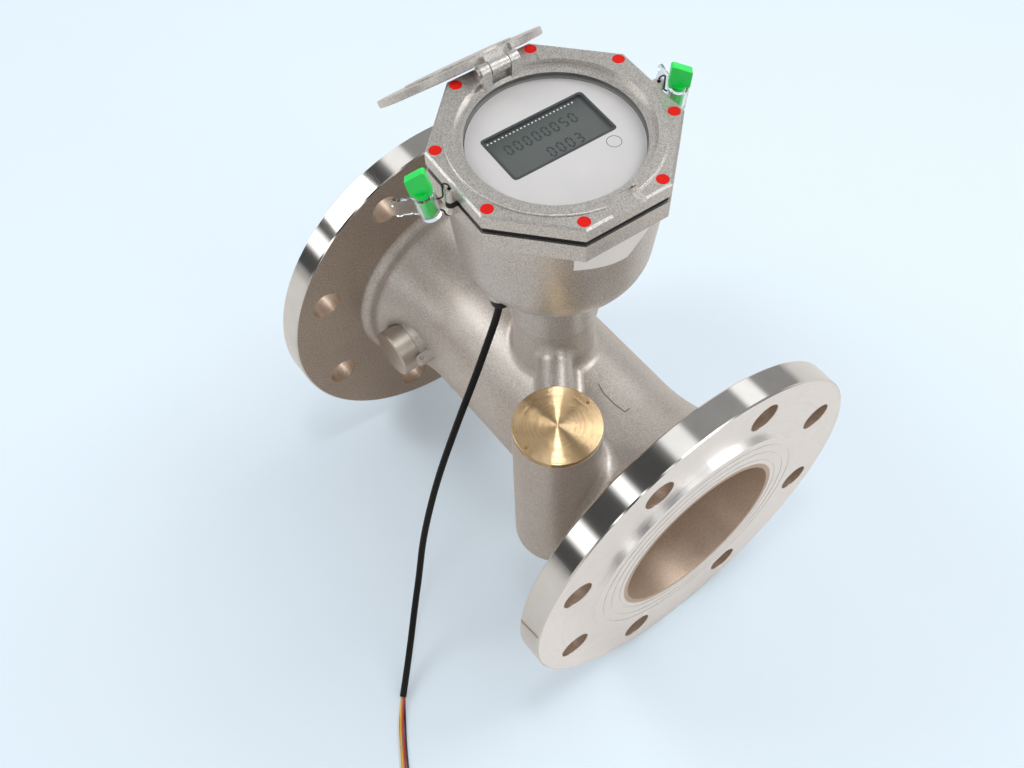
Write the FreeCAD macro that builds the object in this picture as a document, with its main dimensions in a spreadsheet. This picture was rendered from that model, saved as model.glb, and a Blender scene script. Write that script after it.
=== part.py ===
import FreeCAD, Part
import math
import os
import types

import Sketcher

# Ultrasonic water meter, DN100, with flanged ends and a register head on a cast neck.
# Millimetres. The origin is the middle of the flow bore, +X runs along the pipe and +Z up to the head.

DIMENSIONS = {
    # flow tube: one casting with flanges drilled to PN16 for its nominal size
    "face_to_face": 250,
    "flange_diameter": 218,
    "flange_thickness": 15.2,
    "flange_chamfer": 0.8,
    "bolt_inset": 19,
    "bolt_hole_diameter": 18,
    "bolt_count": 8,
    "raised_face_height": 2.5,
    "raised_face_margin": 9,
    "groove_count": 3,
    "groove_spacing": 5.5,
    "groove_width": 0.7,
    "groove_depth": 0.5,
    "mouth_diameter": 100,
    "bore_diameter": 80,
    "bore_length": 150,
    "tube_wall": 6,
    "tube_straight_length": 100,
    "hub_rise": 13,
    "hub_land": 10,
    "hub_land_rise": 0.8,
    "hub_crest_round": 7,
    "hub_round": 5.5,
    "cast_round": 6,
    # upright bosses that hold the two transducers, across the bore from each other
    "boss_along": 61.6,
    "boss_aside": 47.5,
    "boss_diameter": 45.8,
    "boss_top": 79.5,
    "boss_bottom": -38,
    "boss_bottom_round": 12,
    "thread_diameter": 32,
    "thread_floor": 40,
    "pocket_diameter": 13.4,
    "pocket_floor": -17,
    "window_diameter": 11,
    # cable ducts from the bosses to the neck, and the neck under the head
    "duct_width": 19,
    "duct_axis_height": 57.5,
    "duct_root": 10,
    "duct_bore_diameter": 8,
    "neck_diameter": 45,
    "neck_top": 79.5,
    "neck_passage_diameter": 18,
    "neck_passage_floor": 49,
    "stub_diameter": 35,
    "stub_height": 24,
    "neck_oring_section": 2.4,
    "neck_oring_rise": 17,
    "set_screw_diameter": 5,
    "set_screw_rise": 8,
    "set_screw_heading": 125,
    "set_screw_spread": 90,
    # plugged side port with its sealing eye
    "port_along": -77.1,
    "port_height": 0,
    "port_collar_diameter": 31.4,
    "port_collar_reach": 51,
    "port_plug_diameter": 29.4,
    "port_plug_reach": 62.8,
    "port_plug_round": 1.2,
    "port_thread_diameter": 18,
    "port_thread_end": 42,
    "eye_along": -59.4,
    "eye_aside": 52.2,
    "eye_radius": 3.2,
    "eye_hole_radius": 1.4,
    "eye_level": 5,
    "eye_thickness": 3,
    # brass plugs and the transducers under them
    "plug_head_diameter": 45.4,
    "plug_head_thickness": 3,
    "plug_shank_length": 15,
    "pin_hole_diameter": 2,
    "pin_hole_circle": 40,
    "pin_hole_depth": 1.6,
    "pin_hole_heading": 92,
    "collar_diameter": 28,
    "collar_height": 6,
    "facing_reach": 4.55,
    "oring_section": 1.8,
    "oring_height": 28,
    # register head: housing bowl, base flange, gasket and cover
    "head_turn": -3.8,
    "head_flats": 109,
    "bowl_inset": 1.2,
    "bowl_draft": 6.6,
    "bowl_bottom_height": 118.2,
    "bowl_flat_radius": 24.7,
    "bowl_wall": 4.5,
    "spigot_top_diameter": 51,
    "spigot_bottom_diameter": 48,
    "base_flange_thickness": 10,
    "gasket_thickness": 3.4,
    "gasket_inset": 1.1,
    "sealing_land": 7.5,
    "cover_thickness": 7.5,
    "cover_chamfer": 1,
    "rim_inset": 4.2,
    "rim_width": 5,
    "rim_height": 1,
    "ledge_depth": 2.6,
    "ledge_width": 3,
    "opening_taper": 1,
    "notch_width": 17.5,
    "notch_depth": 2.3,
    "screw_inset": 4.9,
    "screw_count": 8,
    "screw_diameter": 3,
    "screw_head_diameter": 5.5,
    "screw_head_height": 3,
    "screw_length": 15.5,
    "cap_diameter": 6,
    "cap_thickness": 1.2,
    "lug_overhang": 2.1,
    "lug_along": 1.25,
    "lug_radius": 2.3,
    "lug_hole_radius": 1,
    "lug_step": 0.6,
    "lug_depth": 4.5,
    # window, dial and what lies under it
    "glass_thickness": 3,
    "glass_bite": 4.2,
    "window_seal_thickness": 0.8,
    "retainer_thickness": 2.6,
    "dial_thickness": 0.8,
    "dial_drop": 0.5,
    "display_length": 55.3,
    "display_width": 28.3,
    "display_shift": 5.5,
    "display_drop": 0.6,
    "display_frame": 1.5,
    "board_inset": 10,
    "board_thickness": 1.6,
    "board_drop": 12.2,
    "carrier_wall": 2,
    "carrier_rise": 20,
    "carrier_depth": 29.1,
    "cell_diameter": 33,
    "cell_length": 60,
    "cell_rise": 25,
    "cradle_wall": 2,
    "cradle_length": 40,
    "cradle_grip": 7.4,
    "leg_width": 26,
    "leg_thickness": 4,
    # hinged lid that lies in the cover's recess
    "lid_gap": 1.5,
    "lid_thickness": 3.6,
    "lid_round": 0.8,
    "lid_panel_inset": 15.3,
    "lid_panel_depth": 1,
    "lid_open_angle": 224.2,
    "pin_inset": 5.55,
    "pin_rise": 5.4,
    "pin_diameter": 3,
    "pin_head_diameter": 4.6,
    "pin_head_length": 1.2,
    "hinge_offset": -0.8,
    "knuckle_diameter": 7,
    "barrel_length": 10,
    "ear_length": 5,
    "ear_sink": 1,
    "relief_half_angle": 25,
    "lid_notch_gap": 1.7,
    "tongue_lap": 4,
    "tongue_inset": 0.6,
    # twist seals on the two lugs
    "seal_body_diameter": 10,
    "seal_body_height": 15,
    "seal_bore_diameter": 7.2,
    "seal_floor": 2,
    "seal_heading": 53,
    "rotor_diameter": 6.5,
    "wing_width": 10,
    "wing_height": 17,
    "wing_slant": 5.5,
    "wing_thickness": 3.2,
    "wing_round": 1.2,
    "tag_thickness": 1.4,
    "tag_radius": 5.5,
    "tag_lobe_count": 4,
    "tag_first_lobe": 45,
    "tag_lobe_radius": 2.3,
    "tag_lobe_reach": 5.5,
    "tag_rise": 7.5,
    "wire_diameter": 0.8,
    "wire_bend_radius": 2.2,
    "wire_upper": 11,
    "wire_lower": 4,
    "wire_rise": 2.6,
    "wire_gap": 0.4,
    "wire_drop": 1,
    # pulse output cable
    "gland_along": 2.1,
    "gland_aside": 36.2,
    "gland_diameter": 10,
    "gland_length": 6.5,
    "gland_sink": 1.5,
    "gland_thread_diameter": 6.8,
    "gland_thread_length": 9,
    "gland_hole_length": 14,
    "gland_pad_margin": 1.5,
    "gland_pad_height": 10,
    "gland_mouth_diameter": 6,
    "gland_mouth_depth": 2,
    "cable_diameter": 4,
    "core_diameter": 1.2,
    # clearances between fitting pieces, and how far joined shapes and cutting tools run past each other
    "running_clearance": 0.05,
    "seat_clearance": 0.2,
    "side_clearance": 0.4,
    "join_overlap": 2,
    "cut_overrun": 1,
}

doc = FreeCAD.newDocument("ultrasonic_water_meter")
sheet = doc.addObject("Spreadsheet::Sheet", "Dims")
for row, (alias, value) in enumerate(DIMENSIONS.items(), start=1):
    sheet.set(f"A{row}", alias)
    sheet.set(f"B{row}", str(value))
    sheet.setAlias(f"B{row}", alias)
doc.recompute()

Vector = FreeCAD.Vector
Rotation = FreeCAD.Rotation
Placement = FreeCAD.Placement
X_AXIS = Vector(1, 0, 0)
Y_AXIS = Vector(0, 1, 0)
Z_AXIS = Vector(0, 0, 1)
OCTAGON_SIDES = 8
OCTAGON_TURN = 180 / OCTAGON_SIDES
OCTAGON_CORNER = 1 / math.cos(math.radians(OCTAGON_TURN))
TOUCHING = 0.01
BEND_SHARE = 0.45


class Size:
    """A length or angle, known as a number and as the sheet formula that drives it."""

    def __init__(self, value, formula):
        self.value = value
        self.formula = formula

    def joined(self, sign, other, value):
        return Size(value, f"({self.formula} {sign} {other.formula})")

    def __add__(self, other):
        other = as_size(other)
        return self.joined("+", other, self.value + other.value)

    def __sub__(self, other):
        other = as_size(other)
        return self.joined("-", other, self.value - other.value)

    def __mul__(self, other):
        other = as_size(other)
        return self.joined("*", other, self.value * other.value)

    def __truediv__(self, other):
        other = as_size(other)
        return self.joined("/", other, self.value / other.value)

    def __radd__(self, other):
        return as_size(other) + self

    def __rsub__(self, other):
        return as_size(other) - self

    def __rmul__(self, other):
        return as_size(other) * self

    def __neg__(self):
        return as_size(0) - self


def as_size(thing):
    return thing if isinstance(thing, Size) else Size(thing, f"{thing:.9g}")


dim = types.SimpleNamespace(**{alias: Size(value, f"Dims.{alias}") for alias, value in DIMENSIONS.items()})


def bind(thing, name, size):
    """Drive one property of a document object from the sheet."""
    thing.setExpression(name, as_size(size).formula)


def put(thing, at, axis=Z_AXIS, spin=0):
    """Stand a primitive at a point with its own Z along the axis, turned by spin about it."""
    thing.Placement = Placement(Vector(), Rotation(Z_AXIS, axis).multiply(Rotation(Z_AXIS, spin)))
    for letter, size in zip("xyz", at):
        bind(thing, f"Placement.Base.{letter}", size)
    return thing


def cylinder(radius, height, at=(0, 0, 0), axis=Z_AXIS, spin=0):
    made = doc.addObject("Part::Cylinder", "Cylinder")
    bind(made, "Radius", radius)
    bind(made, "Height", height)
    return put(made, at, axis, spin)


def torus(ring_radius, section_radius, at):
    made = doc.addObject("Part::Torus", "Torus")
    bind(made, "Radius1", ring_radius)
    bind(made, "Radius2", section_radius)
    return put(made, at)


def box(length, width, height, at):
    """A box whose given point is the middle of its bottom face."""
    made = doc.addObject("Part::Box", "Box")
    bind(made, "Length", length)
    bind(made, "Width", width)
    bind(made, "Height", height)
    across, along, up = (as_size(size) for size in at)
    return put(made, (across - as_size(length) / 2, along - as_size(width) / 2, up))


def octagon(flats, height, bottom):
    """An upright eight-sided block with flats facing X and Y."""
    made = doc.addObject("Part::Prism", "Octagon")
    made.Polygon = OCTAGON_SIDES
    bind(made, "Circumradius", flats / 2 * OCTAGON_CORNER)
    bind(made, "Height", height)
    return put(made, (0, 0, bottom), spin=OCTAGON_TURN)


def fuse(*shapes):
    made = doc.addObject("Part::MultiFuse", "Fuse")
    made.Shapes = list(shapes)
    made.Refine = True
    return made


def cut(base, *tools):
    made = doc.addObject("Part::Cut", "Cut")
    made.Base = base
    made.Tool = tools[0] if len(tools) == 1 else fuse(*tools)
    made.Refine = True
    return made


def group(*shapes):
    """Keep identical loose pieces together as one node of separate solids."""
    made = doc.addObject("Part::Compound", "Group")
    made.Links = list(shapes)
    return made


def rounded(base, radius, chosen, kind="Part::Fillet"):
    """Round or bevel the edges of a shape that the given test picks out."""
    doc.recompute()
    edges = [index for index, edge in enumerate(base.Shape.Edges, start=1) if chosen(edge)]
    made = doc.addObject(kind, "Rounded")
    made.Base = base
    made.Edges = [(index, radius.value, radius.value) for index in edges]
    return made


def flat_ring_at(height):
    """An edge test: closed circles or straight edges that lie at one height."""
    def test(edge):
        bounds = edge.BoundBox
        return max(abs(bounds.ZMin - height.value), abs(bounds.ZMax - height.value)) < TOUCHING
    return test


def start_body(name):
    return doc.addObject("PartDesign::Body", name)


def sketch_on(body, role):
    """A sketch lying on one of the body's own origin planes."""
    plane = next(feature for feature in body.Origin.OriginFeatures if feature.Role == role)
    made = body.newObject("Sketcher::SketchObject", "Sketch")
    made.AttachmentSupport = [(plane, "")]
    made.MapMode = "FlatFace"
    return made


def hold(sketch, kind, edge, point, size, name):
    """Fix one coordinate of a sketch point, measured from the sketch origin, to the sheet."""
    index = sketch.addConstraint(Sketcher.Constraint(kind, -1, 1, edge, point, size.value))
    sketch.renameConstraint(index, name)
    sketch.setExpression(f"Constraints.{name}", size.formula)


def outline(sketch, corners, arcs=None):
    """Close a loop through the corners. Edge N runs from corner N to the next one and is straight,
    or where arcs names it, an arc tangent to the edge 'before' it or 'after' it."""
    arcs = arcs or {}
    corners = [(as_size(across), as_size(up)) for across, up in corners]
    points = [Vector(across.value, up.value, 0) for across, up in corners]
    count = len(points)
    ends = []
    for edge, start in enumerate(points):
        finish = points[(edge + 1) % count]
        curve = Part.LineSegment(start, finish)
        if edge in arcs:
            touching = points[edge - 1] if arcs[edge] == "before" else points[(edge + 2) % count]
            curve = tangent_arc(start, finish, touching, arcs[edge])
        sketch.addGeometry(curve, False)
        forward = curve.StartPoint.distanceToPoint(start) < 1e-6
        ends.append((1, 2) if forward else (2, 1))
    for edge in range(count):
        following = (edge + 1) % count
        smooth = arcs.get(following) == "before" or arcs.get(edge) == "after"
        kind = "Tangent" if smooth else "Coincident"
        sketch.addConstraint(Sketcher.Constraint(kind, edge, ends[edge][1], following, ends[following][0]))
    for edge, (across, up) in enumerate(corners):
        hold(sketch, "DistanceX", edge, ends[edge][0], across, f"across{edge}")
        hold(sketch, "DistanceY", edge, ends[edge][0], up, f"up{edge}")


def tangent_arc(start, finish, touching, side):
    """The arc from start to finish that leaves the straight edge beyond one of its ends smoothly."""
    joint, far = (start, finish) if side == "before" else (finish, start)
    along = (joint - touching).normalize()
    chord = far - joint
    normal = Vector(-along.y, along.x, 0)
    radius = chord.dot(chord) / (2 * chord.dot(normal))
    centre = joint + normal * radius
    half = (joint + far) * 0.5 - centre
    middle = centre + half.normalize() * abs(radius)
    return Part.Arc(start, middle, finish)


def revolved(name, corners, arcs=None, axis="V_Axis"):
    """A turned solid: an outline in the XZ plane spun about a sketch axis."""
    body = start_body(name)
    sketch = sketch_on(body, "XZ_Plane")
    outline(sketch, corners, arcs)
    turning = body.newObject("PartDesign::Revolution", "Revolution")
    turning.Profile = sketch
    turning.ReferenceAxis = (sketch, [axis])
    turning.Angle = 360
    return body


def padded(name, corners, thickness):
    """A flat plate: an outline in the XZ plane, thickened evenly to both sides."""
    body = start_body(name)
    sketch = sketch_on(body, "XZ_Plane")
    outline(sketch, corners)
    doc.recompute()
    pad = body.newObject("PartDesign::Pad", "Pad")
    pad.Profile = sketch
    bind(pad, "Length", thickness)
    pad.Midplane = True
    return body


def around(count, first_degrees, radius):
    """Points spaced evenly on a circle about the Z axis."""
    places = []
    for index in range(int(count.value)):
        angle = math.radians(first_degrees + 360 * index / count.value)
        places.append((radius * math.cos(angle), radius * math.sin(angle)))
    return places


sub_parts = []


def name_part(label, shape, turned=False):
    """Give a finished sub-part its name, and turn it with the head where it belongs to the head."""
    if turned:
        shape = group(shape)
        bind(shape, "Placement.Rotation.Angle", dim.head_turn)
    shape.Label = label
    sub_parts.append(shape)
    return shape


# Flow tube: the turned body with its two drilled flanges.
bore_radius = dim.bore_diameter / 2
tube_radius = bore_radius + dim.tube_wall
end_face = dim.face_to_face / 2
flange_front = end_face - dim.raised_face_height
flange_back = flange_front - dim.flange_thickness
straight_end = dim.tube_straight_length / 2
crest_radius = tube_radius + dim.hub_rise
land_radius = crest_radius + dim.hub_land_rise
crest_end = flange_back - dim.hub_land
flange_radius = dim.flange_diameter / 2
bolt_place = flange_radius - dim.bolt_inset
raised_radius = bolt_place - dim.bolt_hole_diameter / 2 - dim.raised_face_margin
bevel = dim.flange_chamfer
flange_edge = flange_radius - bevel


def end_profile(way):
    """Corners of one end of the tube, from the middle of its grooved face over the rim to the hub's crest."""
    corners = [(end_face, 0)]
    for index in range(int(dim.groove_count.value), 0, -1):
        inner = raised_radius - dim.groove_spacing * index
        outer = inner + dim.groove_width
        floor = end_face - dim.groove_depth
        corners += [(end_face, inner), (floor, inner), (floor, outer), (end_face, outer)]
    corners += [
        (end_face, raised_radius), (flange_front, raised_radius), (flange_front, flange_edge),
        (flange_front - bevel, flange_radius), (flange_back + bevel, flange_radius),
        (flange_back, flange_edge), (flange_back, land_radius), (crest_end, crest_radius),
    ]
    return [(along * way, out) for along, out in corners]


left_end = end_profile(-1)
right_end = end_profile(1)
tube_middle = [(-straight_end, tube_radius), (straight_end, tube_radius)]
tube_body = revolved("tube_body", left_end + tube_middle + right_end[::-1],
                     arcs={len(left_end) - 1: "after", len(left_end) + 1: "before"}, axis="H_Axis")

hole_sketch = sketch_on(tube_body, "YZ_Plane")
hole_angle = math.radians(180 / dim.bolt_count.value)
hole_centre = Vector(bolt_place.value * math.cos(hole_angle), bolt_place.value * math.sin(hole_angle), 0)
hole_sketch.addGeometry(Part.Circle(hole_centre, Vector(0, 0, 1), dim.bolt_hole_diameter.value / 2), False)
hold(hole_sketch, "DistanceX", 0, 3, bolt_place * math.cos(hole_angle), "across")
hold(hole_sketch, "DistanceY", 0, 3, bolt_place * math.sin(hole_angle), "up")
hole_sketch.addConstraint(Sketcher.Constraint("Diameter", 0, dim.bolt_hole_diameter.value))
hole_sketch.renameConstraint(2, "drill")
hole_sketch.setExpression("Constraints.drill", dim.bolt_hole_diameter.formula)
doc.recompute()
drilling = tube_body.newObject("PartDesign::Pocket", "Drilling")
drilling.Profile = hole_sketch
drilling.Type = "ThroughAll"
drilling.Midplane = True
doc.recompute()
bolt_holes = tube_body.newObject("PartDesign::PolarPattern", "BoltHoles")
bolt_holes.Originals = [drilling]
bolt_holes.Axis = (hole_sketch, ["N_Axis"])
bolt_holes.Angle = 360
bind(bolt_holes, "Occurrences", dim.bolt_count)
tube_body.Tip = bolt_holes
doc.recompute()


def ring_edge(place, radius):
    """An edge test: full circles about the tube's axis at one distance from its middle."""
    def test(edge):
        curve = edge.Curve
        if not isinstance(curve, Part.Circle) or not edge.Closed:
            return False
        off_place = abs(abs(curve.Center.x) - place.value)
        return max(off_place, abs(curve.Radius - radius.value)) < TOUCHING
    return test


crested_tube = rounded(tube_body, dim.hub_crest_round, ring_edge(crest_end, crest_radius))
flanged_tube = rounded(crested_tube, dim.hub_round, ring_edge(flange_back, land_radius))

# Flow tube: transducer bosses, cable ducts, neck and side port that are cast in one with it.
boss_radius = dim.boss_diameter / 2
path_length = math.hypot(dim.boss_along.value, dim.boss_aside.value)
path_angle = math.degrees(math.atan2(-dim.boss_aside.value, dim.boss_along.value))
duct_radius = dim.duct_width / 2
neck_radius = dim.neck_diameter / 2
castings = [flanged_tube]
for side in (1, -1):
    boss = cylinder(boss_radius, dim.boss_top - dim.boss_bottom,
                    (dim.boss_along * side, dim.boss_aside * -side, dim.boss_bottom),
                    spin=path_angle if side < 0 else path_angle + 180)
    castings.append(rounded(boss, dim.boss_bottom_round, flat_ring_at(dim.boss_bottom)))
    heading = Rotation(Z_AXIS, path_angle if side > 0 else path_angle + 180)
    rib = box(path_length, dim.duct_width, dim.duct_axis_height - dim.duct_root,
              (path_length / 2, 0, dim.duct_root))
    ridge = cylinder(duct_radius, path_length, (0, 0, dim.duct_axis_height), axis=X_AXIS)
    duct = fuse(rib, ridge)
    duct.Placement = Placement(Vector(), heading)
    castings.append(duct)
neck = cylinder(neck_radius, dim.neck_top, spin=45)
castings.append(neck)
rough_casting = fuse(*castings)


def blend_edge(edge):
    """The seams where bosses, ducts and neck grow out of the tube."""
    bounds = edge.BoundBox
    if max(bounds.XMax, -bounds.XMin) > crest_end.value:
        return False
    faces = rough_casting.Shape.ancestorsOfType(edge, Part.Face)
    if len(faces) != 2:
        return False
    upright = bounds.ZLength > dim.cast_round.value and max(bounds.XLength, bounds.YLength) < TOUCHING
    curved = not isinstance(edge.Curve, (Part.Line, Part.Circle))
    return upright or curved


blended_casting = rounded(rough_casting, dim.cast_round, blend_edge)
stub_radius = dim.stub_diameter / 2
stub_groove = stub_radius - dim.neck_oring_section + dim.running_clearance
neck_oring_height = dim.neck_top + dim.neck_oring_rise
groove_at = (0, 0, neck_oring_height - dim.neck_oring_section / 2)
stub = cut(cylinder(stub_radius, dim.stub_height + dim.join_overlap, (0, 0, dim.neck_top - dim.join_overlap)),
           cut(cylinder(stub_radius + dim.cut_overrun, dim.neck_oring_section, groove_at),
               cylinder(stub_groove, dim.neck_oring_section, groove_at)))
eye_bottom = dim.eye_level - dim.eye_thickness / 2
eye = cylinder(dim.eye_radius, dim.eye_thickness, (dim.eye_along, -dim.eye_aside, eye_bottom))
eye_root = bore_radius + dim.join_overlap
eye_web = box(dim.eye_radius * 2, dim.eye_aside - eye_root, dim.eye_thickness,
              (dim.eye_along, -(dim.eye_aside + eye_root) / 2, eye_bottom))
collar = cylinder(dim.port_collar_diameter / 2, dim.port_collar_reach, (dim.port_along, 0, dim.port_height),
                  axis=-Y_AXIS, spin=90)
casting = fuse(blended_casting, stub, collar, eye, eye_web)

# Flow tube: machined bore, transducer pockets, wiring passages and port thread.
mouth_radius = dim.mouth_diameter / 2
bore_end = dim.bore_length / 2
flow_bore = revolved("flow_bore", [
    (-end_face, 0), (-end_face, mouth_radius), (-bore_end, bore_radius),
    (bore_end, bore_radius), (end_face, mouth_radius), (end_face, 0),
], axis="H_Axis")
hollows = [flow_bore]
for side in (1, -1):
    place = (dim.boss_along * side, dim.boss_aside * -side)
    towards = Vector(-dim.boss_along.value * side, dim.boss_aside.value * side, 0).normalize()
    hollows.append(cylinder(dim.thread_diameter / 2, dim.boss_top - dim.thread_floor,
                            (*place, dim.thread_floor)))
    hollows.append(cylinder(dim.pocket_diameter / 2, dim.thread_floor - dim.pocket_floor,
                            (*place, dim.pocket_floor)))
    hollows.append(cylinder(dim.window_diameter / 2, path_length / 2, (*place, 0), axis=towards))
    hollows.append(cylinder(dim.duct_bore_diameter / 2, path_length, (*place, dim.duct_axis_height),
                            axis=towards))
stub_top = dim.neck_top + dim.stub_height
hollows.append(cylinder(dim.neck_passage_diameter / 2, stub_top - dim.neck_passage_floor,
                        (0, 0, dim.neck_passage_floor)))
hollows.append(cylinder(dim.port_thread_diameter / 2, dim.port_collar_reach,
                        (dim.port_along, 0, dim.port_height), axis=-Y_AXIS))
hollows.append(cylinder(dim.port_plug_diameter / 2 + dim.side_clearance, dim.port_plug_reach,
                        (dim.port_along, -dim.port_collar_reach, dim.port_height), axis=-Y_AXIS))
hollows.append(cylinder(dim.eye_hole_radius, dim.eye_thickness, (dim.eye_along, -dim.eye_aside, eye_bottom)))
name_part("flow_tube", cut(casting, *hollows))

# Brass plugs that close the bosses, each with two holes for a pin spanner.
thread_radius = dim.thread_diameter / 2 - dim.seat_clearance
for name, side in (("front", 1), ("rear", -1)):
    place = (dim.boss_along * side, dim.boss_aside * -side)
    head = cylinder(dim.plug_head_diameter / 2, dim.plug_head_thickness, (*place, dim.boss_top))
    shank = cylinder(thread_radius, dim.plug_shank_length, (*place, dim.boss_top - dim.plug_shank_length))
    plug_top = dim.boss_top + dim.plug_head_thickness
    plug = rounded(fuse(head, shank), dim.seat_clearance, flat_ring_at(plug_top))
    pin_holes = []
    for way in (1, -1):
        angle = math.radians(dim.pin_hole_heading.value)
        reach = dim.pin_hole_circle / 2 * way
        hole_at = (place[0] + reach * math.cos(angle), place[1] + reach * math.sin(angle),
                   plug_top - dim.pin_hole_depth)
        pin_holes.append(cylinder(dim.pin_hole_diameter / 2, dim.pin_hole_depth, hole_at))
    name_part(f"brass_plug_{name}", cut(plug, *pin_holes))

# Transducers: stepped stems that look across the bore through the windows, and their O-rings.
stem_radius = dim.pocket_diameter / 2 - dim.seat_clearance
groove_radius = stem_radius - dim.oring_section + dim.seat_clearance
orings = []
for name, side in (("front", 1), ("rear", -1)):
    place = (dim.boss_along * side, dim.boss_aside * -side)
    flange = cylinder(dim.collar_diameter / 2, dim.collar_height, (*place, dim.thread_floor))
    stem_bottom = dim.pocket_floor + dim.seat_clearance
    stem = cylinder(stem_radius, dim.thread_floor - stem_bottom, (*place, stem_bottom))
    groove_bottom = dim.oring_height - dim.oring_section / 2
    groove = cut(cylinder(stem_radius + dim.cut_overrun, dim.oring_section, (*place, groove_bottom)),
                 cylinder(groove_radius, dim.oring_section, (*place, groove_bottom)))
    towards = Vector(-dim.boss_along.value * side, dim.boss_aside.value * side, 0).normalize()
    facing = cylinder(stem_radius, stem_radius * 2, (*place, 0), axis=towards)
    bind(facing, "Placement.Base.x", place[0] + dim.facing_reach * towards.x)
    bind(facing, "Placement.Base.y", place[1] + dim.facing_reach * towards.y)
    name_part(f"transducer_{name}", cut(fuse(flange, stem), groove, facing))
    section = dim.oring_section / 2 - dim.seat_clearance / 4
    orings.append(torus(groove_radius + dim.oring_section / 2, section, (*place, dim.oring_height)))
name_part("transducer_orings", group(*orings))

# O-ring on the neck stub, and the set screws that hold the head on it.
neck_section = dim.neck_oring_section / 2
name_part("neck_oring", torus(stub_groove + neck_section, neck_section - dim.running_clearance,
                              (0, 0, neck_oring_height)))
set_screw_turns = (dim.set_screw_heading.value, dim.set_screw_heading.value + dim.set_screw_spread.value)
set_screw_headings = [Rotation(Z_AXIS, degrees).multVec(X_AXIS) for degrees in set_screw_turns]
set_screw_start = stub_radius + dim.running_clearance
set_screw_length = dim.spigot_bottom_diameter / 2 - set_screw_start - dim.side_clearance


def set_screw_bores(radius, length):
    """Radial cylinders at the two set screws, starting on the neck stub."""
    return [cylinder(radius, length, (set_screw_start * heading.x, set_screw_start * heading.y,
                                      dim.neck_top + dim.set_screw_rise), axis=heading)
            for heading in set_screw_headings]


set_screws = set_screw_bores(dim.set_screw_diameter / 2, set_screw_length)
name_part("neck_set_screws", group(*set_screws), turned=True)

# Side port plug: a turned stub screwed into the collar.
port_head = cylinder(dim.port_plug_diameter / 2, dim.port_plug_reach - dim.port_collar_reach,
                     (dim.port_along, -dim.port_collar_reach, dim.port_height), axis=-Y_AXIS)


def port_front(edge):
    """The outer rim of the side port plug."""
    bounds = edge.BoundBox
    return max(abs(bounds.YMin + dim.port_plug_reach.value), bounds.YLength) < TOUCHING


port_shank = cylinder(dim.port_thread_diameter / 2 - dim.seat_clearance,
                      dim.port_collar_reach - dim.port_thread_end,
                      (dim.port_along, -dim.port_thread_end, dim.port_height), axis=-Y_AXIS)
name_part("side_port_plug", rounded(fuse(port_head, port_shank), dim.port_plug_round, port_front))

# Head housing: bowl with its spigot over the neck, the eight-sided base flange and the seal lugs.
# Its depth is the stack that it holds: cell, carrier and dial under the window.
cavity_floor = dim.bowl_bottom_height + dim.bowl_wall
cell_height = cavity_floor + dim.cell_rise
carrier_bottom = cell_height + dim.carrier_rise
dial_bottom = carrier_bottom + dim.carrier_depth
cover_bottom = dial_bottom + dim.dial_thickness + dim.dial_drop
cover_top = cover_bottom + dim.cover_thickness
base_top = cover_bottom - dim.gasket_thickness
base_bottom = base_top - dim.base_flange_thickness
half_flats = dim.head_flats / 2
bowl_top_radius = half_flats - dim.bowl_inset
bowl_bottom_radius = bowl_top_radius - dim.bowl_draft
bowl_bottom_round = bowl_bottom_radius - dim.bowl_flat_radius
screw_reach = half_flats * OCTAGON_CORNER - dim.screw_inset
screw_places = around(dim.screw_count, OCTAGON_TURN, screw_reach)
lug_reach = half_flats + dim.lug_overhang
lug_bottom = base_top - dim.lug_depth


def lugs(bottom, height):
    """The two ears, at opposite sides of the head, that the seal wires pass through."""
    made = []
    for side in (1, -1):
        made.append(cylinder(dim.lug_radius, height, (dim.lug_along, lug_reach * side, bottom)))
        inner = dim.lug_overhang + dim.lug_radius
        made.append(box(dim.lug_radius * 2, inner, height,
                        (dim.lug_along, (lug_reach - inner / 2) * side, bottom)))
    return made


def lug_holes(bottom, height):
    return [cylinder(dim.lug_hole_radius, height, (dim.lug_along, lug_reach * side, bottom))
            for side in (1, -1)]


bowl = revolved("bowl", [
    (0, dim.neck_top), (dim.spigot_bottom_diameter / 2, dim.neck_top),
    (dim.spigot_top_diameter / 2, dim.bowl_bottom_height), (bowl_bottom_radius, dim.bowl_bottom_height),
    (bowl_top_radius, base_bottom), (bowl_top_radius, base_top), (0, base_top),
])


def bowl_corner(edge):
    curve = edge.Curve
    if not isinstance(curve, Part.Circle):
        return False
    off_bottom = abs(curve.Center.z - dim.bowl_bottom_height.value)
    return max(off_bottom, abs(curve.Radius - bowl_bottom_radius.value)) < TOUCHING


round_bowl = rounded(bowl, bowl_bottom_round, bowl_corner)
base_flange = octagon(dim.head_flats, dim.base_flange_thickness, base_bottom)
cavity_radius = half_flats - dim.sealing_land
cavity = revolved("cavity", [
    (0, cavity_floor), (dim.bowl_flat_radius, cavity_floor),
    (bowl_bottom_radius - dim.bowl_wall, cavity_floor + bowl_bottom_round),
    (cavity_radius, base_top), (0, base_top),
], arcs={1: "before"})
socket_radius = stub_radius + dim.running_clearance
housing_cuts = [cavity]
housing_cuts += set_screw_bores(dim.set_screw_diameter / 2 + dim.running_clearance,
                                dim.spigot_top_diameter / 2)
housing_cuts.append(cylinder(socket_radius, dim.stub_height + dim.seat_clearance, (0, 0, dim.neck_top)))
housing_cuts.append(cylinder(dim.neck_passage_diameter / 2, cavity_floor - dim.neck_top,
                             (0, 0, dim.neck_top)))
screw_tip = cover_top - dim.cap_thickness - dim.screw_head_height - dim.screw_length
for across, along in screw_places:
    housing_cuts.append(cylinder(dim.screw_diameter / 2 + dim.running_clearance, base_top - screw_tip,
                                 (across, along, screw_tip)))
housing_cuts += lug_holes(lug_bottom, dim.lug_depth)
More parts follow.
